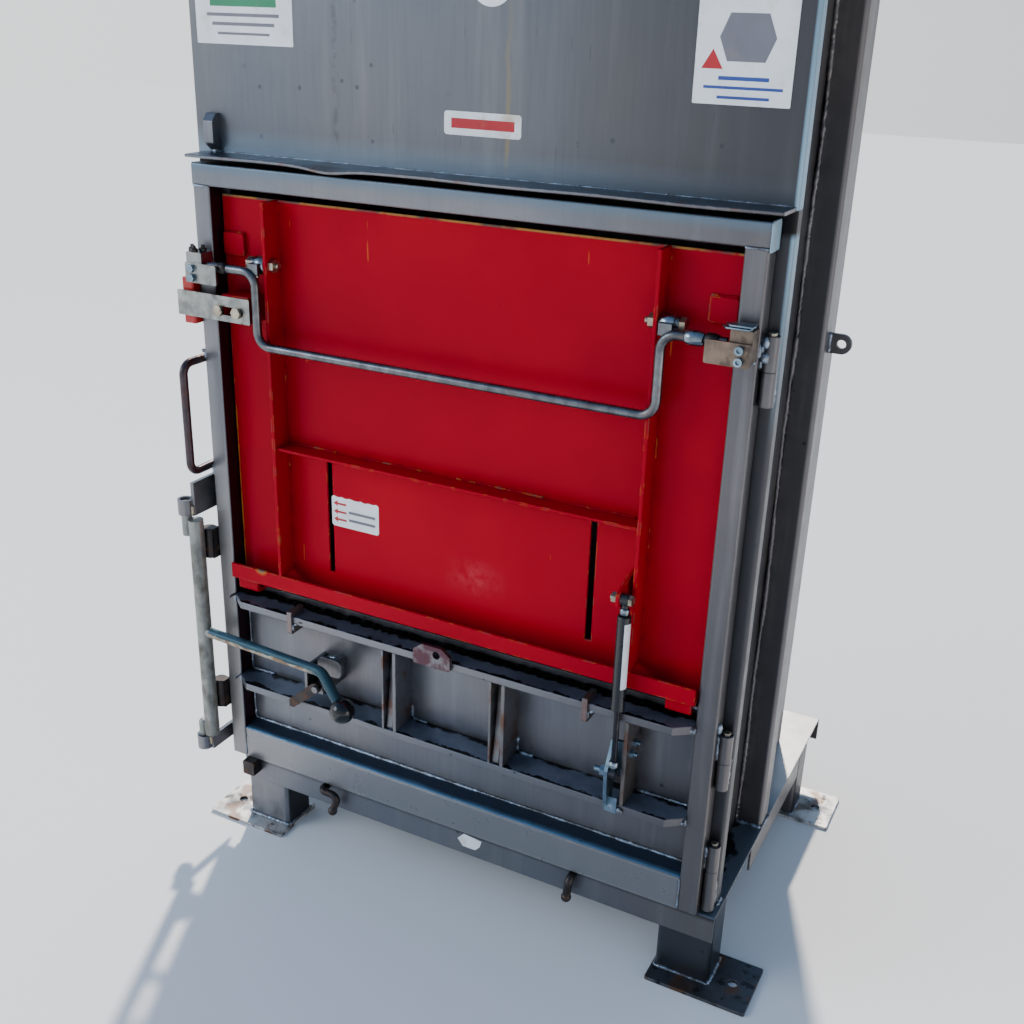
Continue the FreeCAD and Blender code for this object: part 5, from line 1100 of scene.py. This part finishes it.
LIP_STEPS = 100
LIP_ROUND, LIP_FLEX = 0.8, 20
DENT_X, DENT_WIDE, DENT_DEEP = -192.0, 34.0, 4.5
WAVE_DEEP, WAVE_LONG = 0.5, 37.0
KEEPER_TOP = 944
BAIL_Y, BAIL_Z = -275.5, 926
HUB_Y, HUB_Z, HUB_LONG = -256.5, 934, 18
PLATE_X, PLATE_THICK = 377.6, 2.6
SHADOW_DIRT_SEED, SHADOW_DIRT_PITCH, SHADOW_DIRT_TOP, SHADOW_DIRT_THICK = 77, 6, 419.1, 1.2
SHADOW_DIRT_FRONT, SHADOW_DIRT_REAR, SHADOW_DIRT_RAGGED, SHADOW_DIRT_PILED = -246, -238, 8, 3
LOCK_X, LEVER_ROOT_X, LOCK_Y = -443, -428.5, -287.5
ALONG_X, ALONG_Z = (1, 0, 0), (0, 0, 1)


def build_lip():
    """The drip lip with the dent and the slight waves in its front edge."""
    low, high = [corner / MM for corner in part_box("drip_lip")]
    corners = (
        # y, z and how far the corner follows the dent
        (high.y, high.z, 0), (low.y + LIP_FLEX, high.z, 0.3), (low.y + LIP_ROUND, high.z, 1),
        (low.y, high.z - LIP_ROUND, 1), (low.y, low.z + LIP_ROUND, 1), (low.y + LIP_ROUND, low.z, 1),
        (low.y + LIP_FLEX, low.z, 0.3), (high.y, low.z, 0))
    bm = bmesh.new()
    rings = []
    for step in range(LIP_STEPS + 1):
        x = low.x + (high.x - low.x) * step / LIP_STEPS
        dent = -DENT_DEEP * math.exp(-((x - DENT_X) / DENT_WIDE) ** 2)
        sag = dent - WAVE_DEEP * math.sin(x / WAVE_LONG)
        rings.append([
            bm.verts.new(Vector((x, y, z + sag * share)) * MM) for y, z, share in corners])
    bridge(bm, rings)
    lip = piece("dented_lip", bm, "root", "grey_paint", "lip_paint", smooth=False)
    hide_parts("drip_lip")


def build_keeper_fittings():
    """Three nuts on studs on the left keeper, two blades on the right one."""
    bm = bmesh.new()
    for x, y in ((-417, -276), (-402, -272), (-408, -283)):
        nut(bm, (x, y, KEEPER_TOP), ALONG_Z, 9, 5, 4)
    piece("keeper_nuts", bm, "main_door", "zinc", "dark_iron")
    bm = bmesh.new()
    for low, high, rise in ((345, 372, 944.2), (349, 375, 947.4)):
        slab(bm, [
            (low, -287, rise), (high, -287, rise), (high + 2, -279, rise), (high, -268, rise),
            (low + 2, -268, rise), (low - 6, -278, rise)], (0, 0, 2.2))
    piece("keeper_blades", bm, "main_door", "zinc", "blue_zinc", bevel=0.5, smooth=False)


def turned(name, body, slot, finish, *lathes):
    """A piece made of turned parts only."""
    bm = bmesh.new()
    for settings in lathes:
        lathe(bm, *settings)
    piece(name, bm, body, slot, finish)


def build_bail_fittings():
    """The bail's sleeve, its collars and the hubs around its bolts."""
    turned("bail_sleeve", "bail_latch", "bright_steel", "sleeve_steel", (
        (296, BAIL_Y, BAIL_Z), ALONG_X, [
            (0, 6.3), (2, 8.2), (8, 9.3), (16, 9.3), (21, 8.4), (24, 6.6)]))
    turned(
        "bail_collars", "bail_latch", "black_paint", "dark_iron",
        ((321, BAIL_Y, BAIL_Z), ALONG_X, [(0, 6.5), (1, 8.6), (10, 8.6), (14, 7.4), (16, 6.4)]),
        ((-372, BAIL_Y, BAIL_Z), ALONG_X, [(0, 6.4), (2, 7.8), (10, 8.0), (14, 6.6)]))
    hubs = []
    for x, way in ((-305, -1), (260, 1)):
        hubs.append((
            (x, HUB_Y, HUB_Z), (way, 0, 0), [(0, 9.6), (1, 11.2), (17, 11.2), (HUB_LONG, 9.8)]))
        hubs.append((
            (x + HUB_LONG * way, HUB_Y, HUB_Z), (way, 0, 0), [(0, 6.6), (11, 6.6), (12, 5.4)], 20))
    turned("bail_hubs", "bail_latch", "bright_steel", "sleeve_steel", *hubs)


def build_strut_collars():
    """A collar at the head of the gas strut's cylinder and one at the foot of its rod."""
    turned("strut_upper_collar", "gas_strut_tube", "zinc", "sleeve_steel", (
        (STRUT_X, STRUT_Y, 565), ALONG_Z, [(0, 5.0), (1, 6.6), (9, 6.6), (11, 5.2)]))
    turned("strut_lower_collar", "gas_strut_rod", "zinc", "sleeve_steel", (
        (STRUT_X, STRUT_Y, 338), ALONG_Z, [(0, 5.2), (2, 6.6), (10, 6.6), (11, 5.0)]))


def build_bail_welds():
    """Weld metal between the bail's bar and its hubs."""
    bm = bmesh.new()
    for x in (-316, 271):
        bead(bm, (x - 6, -268, 925), (x + 6, -266, 927), 3.6, 51 + x)
        bead(bm, (x - 6, -262, 922), (x + 5, -258, 924), 3.0, 52 + x)
        blob(bm, (x + 2, -271, 920), (5, 3.5, 3.5), 53 + x)
    piece("bail_welds", bm, "bail_latch", "bright_steel", "cream_zinc")


def build_rail_end():
    """The plate that closes the top rail's right end, painted pale blue for the sky it reflects."""
    bm = bmesh.new()
    outline = ((-261.5, 1026), (-231, 1026), (-231, 1056), (-234, 1060), (-258.5, 1060), (-261.5, 1057))
    slab(bm, [(PLATE_X, y, z) for y, z in outline], (PLATE_THICK, 0, 0))
    piece("rail_end_plate", bm, "main_door", "grey_paint", "sky_paint", bevel=0.8, smooth=False)


def build_shelf_shadow_dirt():
    """A black band of painted shadow and caked dirt, with a ragged front edge, along the back of the top
    shelf.
    """
    bm = bmesh.new()
    chance = random.Random(SHADOW_DIRT_SEED)
    for left, right in ((-388, -180), (-182, 20), (18, 345)):
        front, rear = [], []
        steps = int((right - left) / SHADOW_DIRT_PITCH)
        for step in range(steps + 1):
            x = left + (right - left) * step / steps
            front.append((x, SHADOW_DIRT_FRONT - chance.uniform(0, SHADOW_DIRT_RAGGED), SHADOW_DIRT_TOP))
            rear.append((x, SHADOW_DIRT_REAR, SHADOW_DIRT_TOP + chance.uniform(0, SHADOW_DIRT_PILED)))
        for step in range(steps):
            slab(bm, [front[step], front[step + 1], rear[step + 1], rear[step]], (0, 0, SHADOW_DIRT_THICK))
    piece("shelf_shadow_dirt", bm, "main_door", "black_paint", "grime", smooth=False)


def build_lock_welds():
    """Beads on the lock's shaft: above and below its bearings, and at the lever's root."""
    bm = bmesh.new()
    beads(bm, (
        ((LOCK_X, LOCK_Y, 548), (LOCK_X, LOCK_Y, 566), 3.6, 61),
        ((LOCK_X, LOCK_Y, 144), (LOCK_X, LOCK_Y, 160), 3.6, 62),
        ((LEVER_ROOT_X, LOCK_Y, 346), (LEVER_ROOT_X, LOCK_Y, 363), 2.8, 63)))
    piece("lock_welds", bm, "crank_lock", "lever_paint", "cream_zinc")


make_camera()
make_floor()
make_sky()
make_lights()
dress_nodes()
build_flap_label()
build_sheet_labels()
build_tape_scrap()
build_strut_label()
build_frame_welds()
build_door_welds()
build_flap_welds()
build_lip()
build_keeper_fittings()
build_bail_fittings()
build_strut_collars()
build_bail_welds()
build_rail_end()
build_shelf_shadow_dirt()
build_lock_welds()
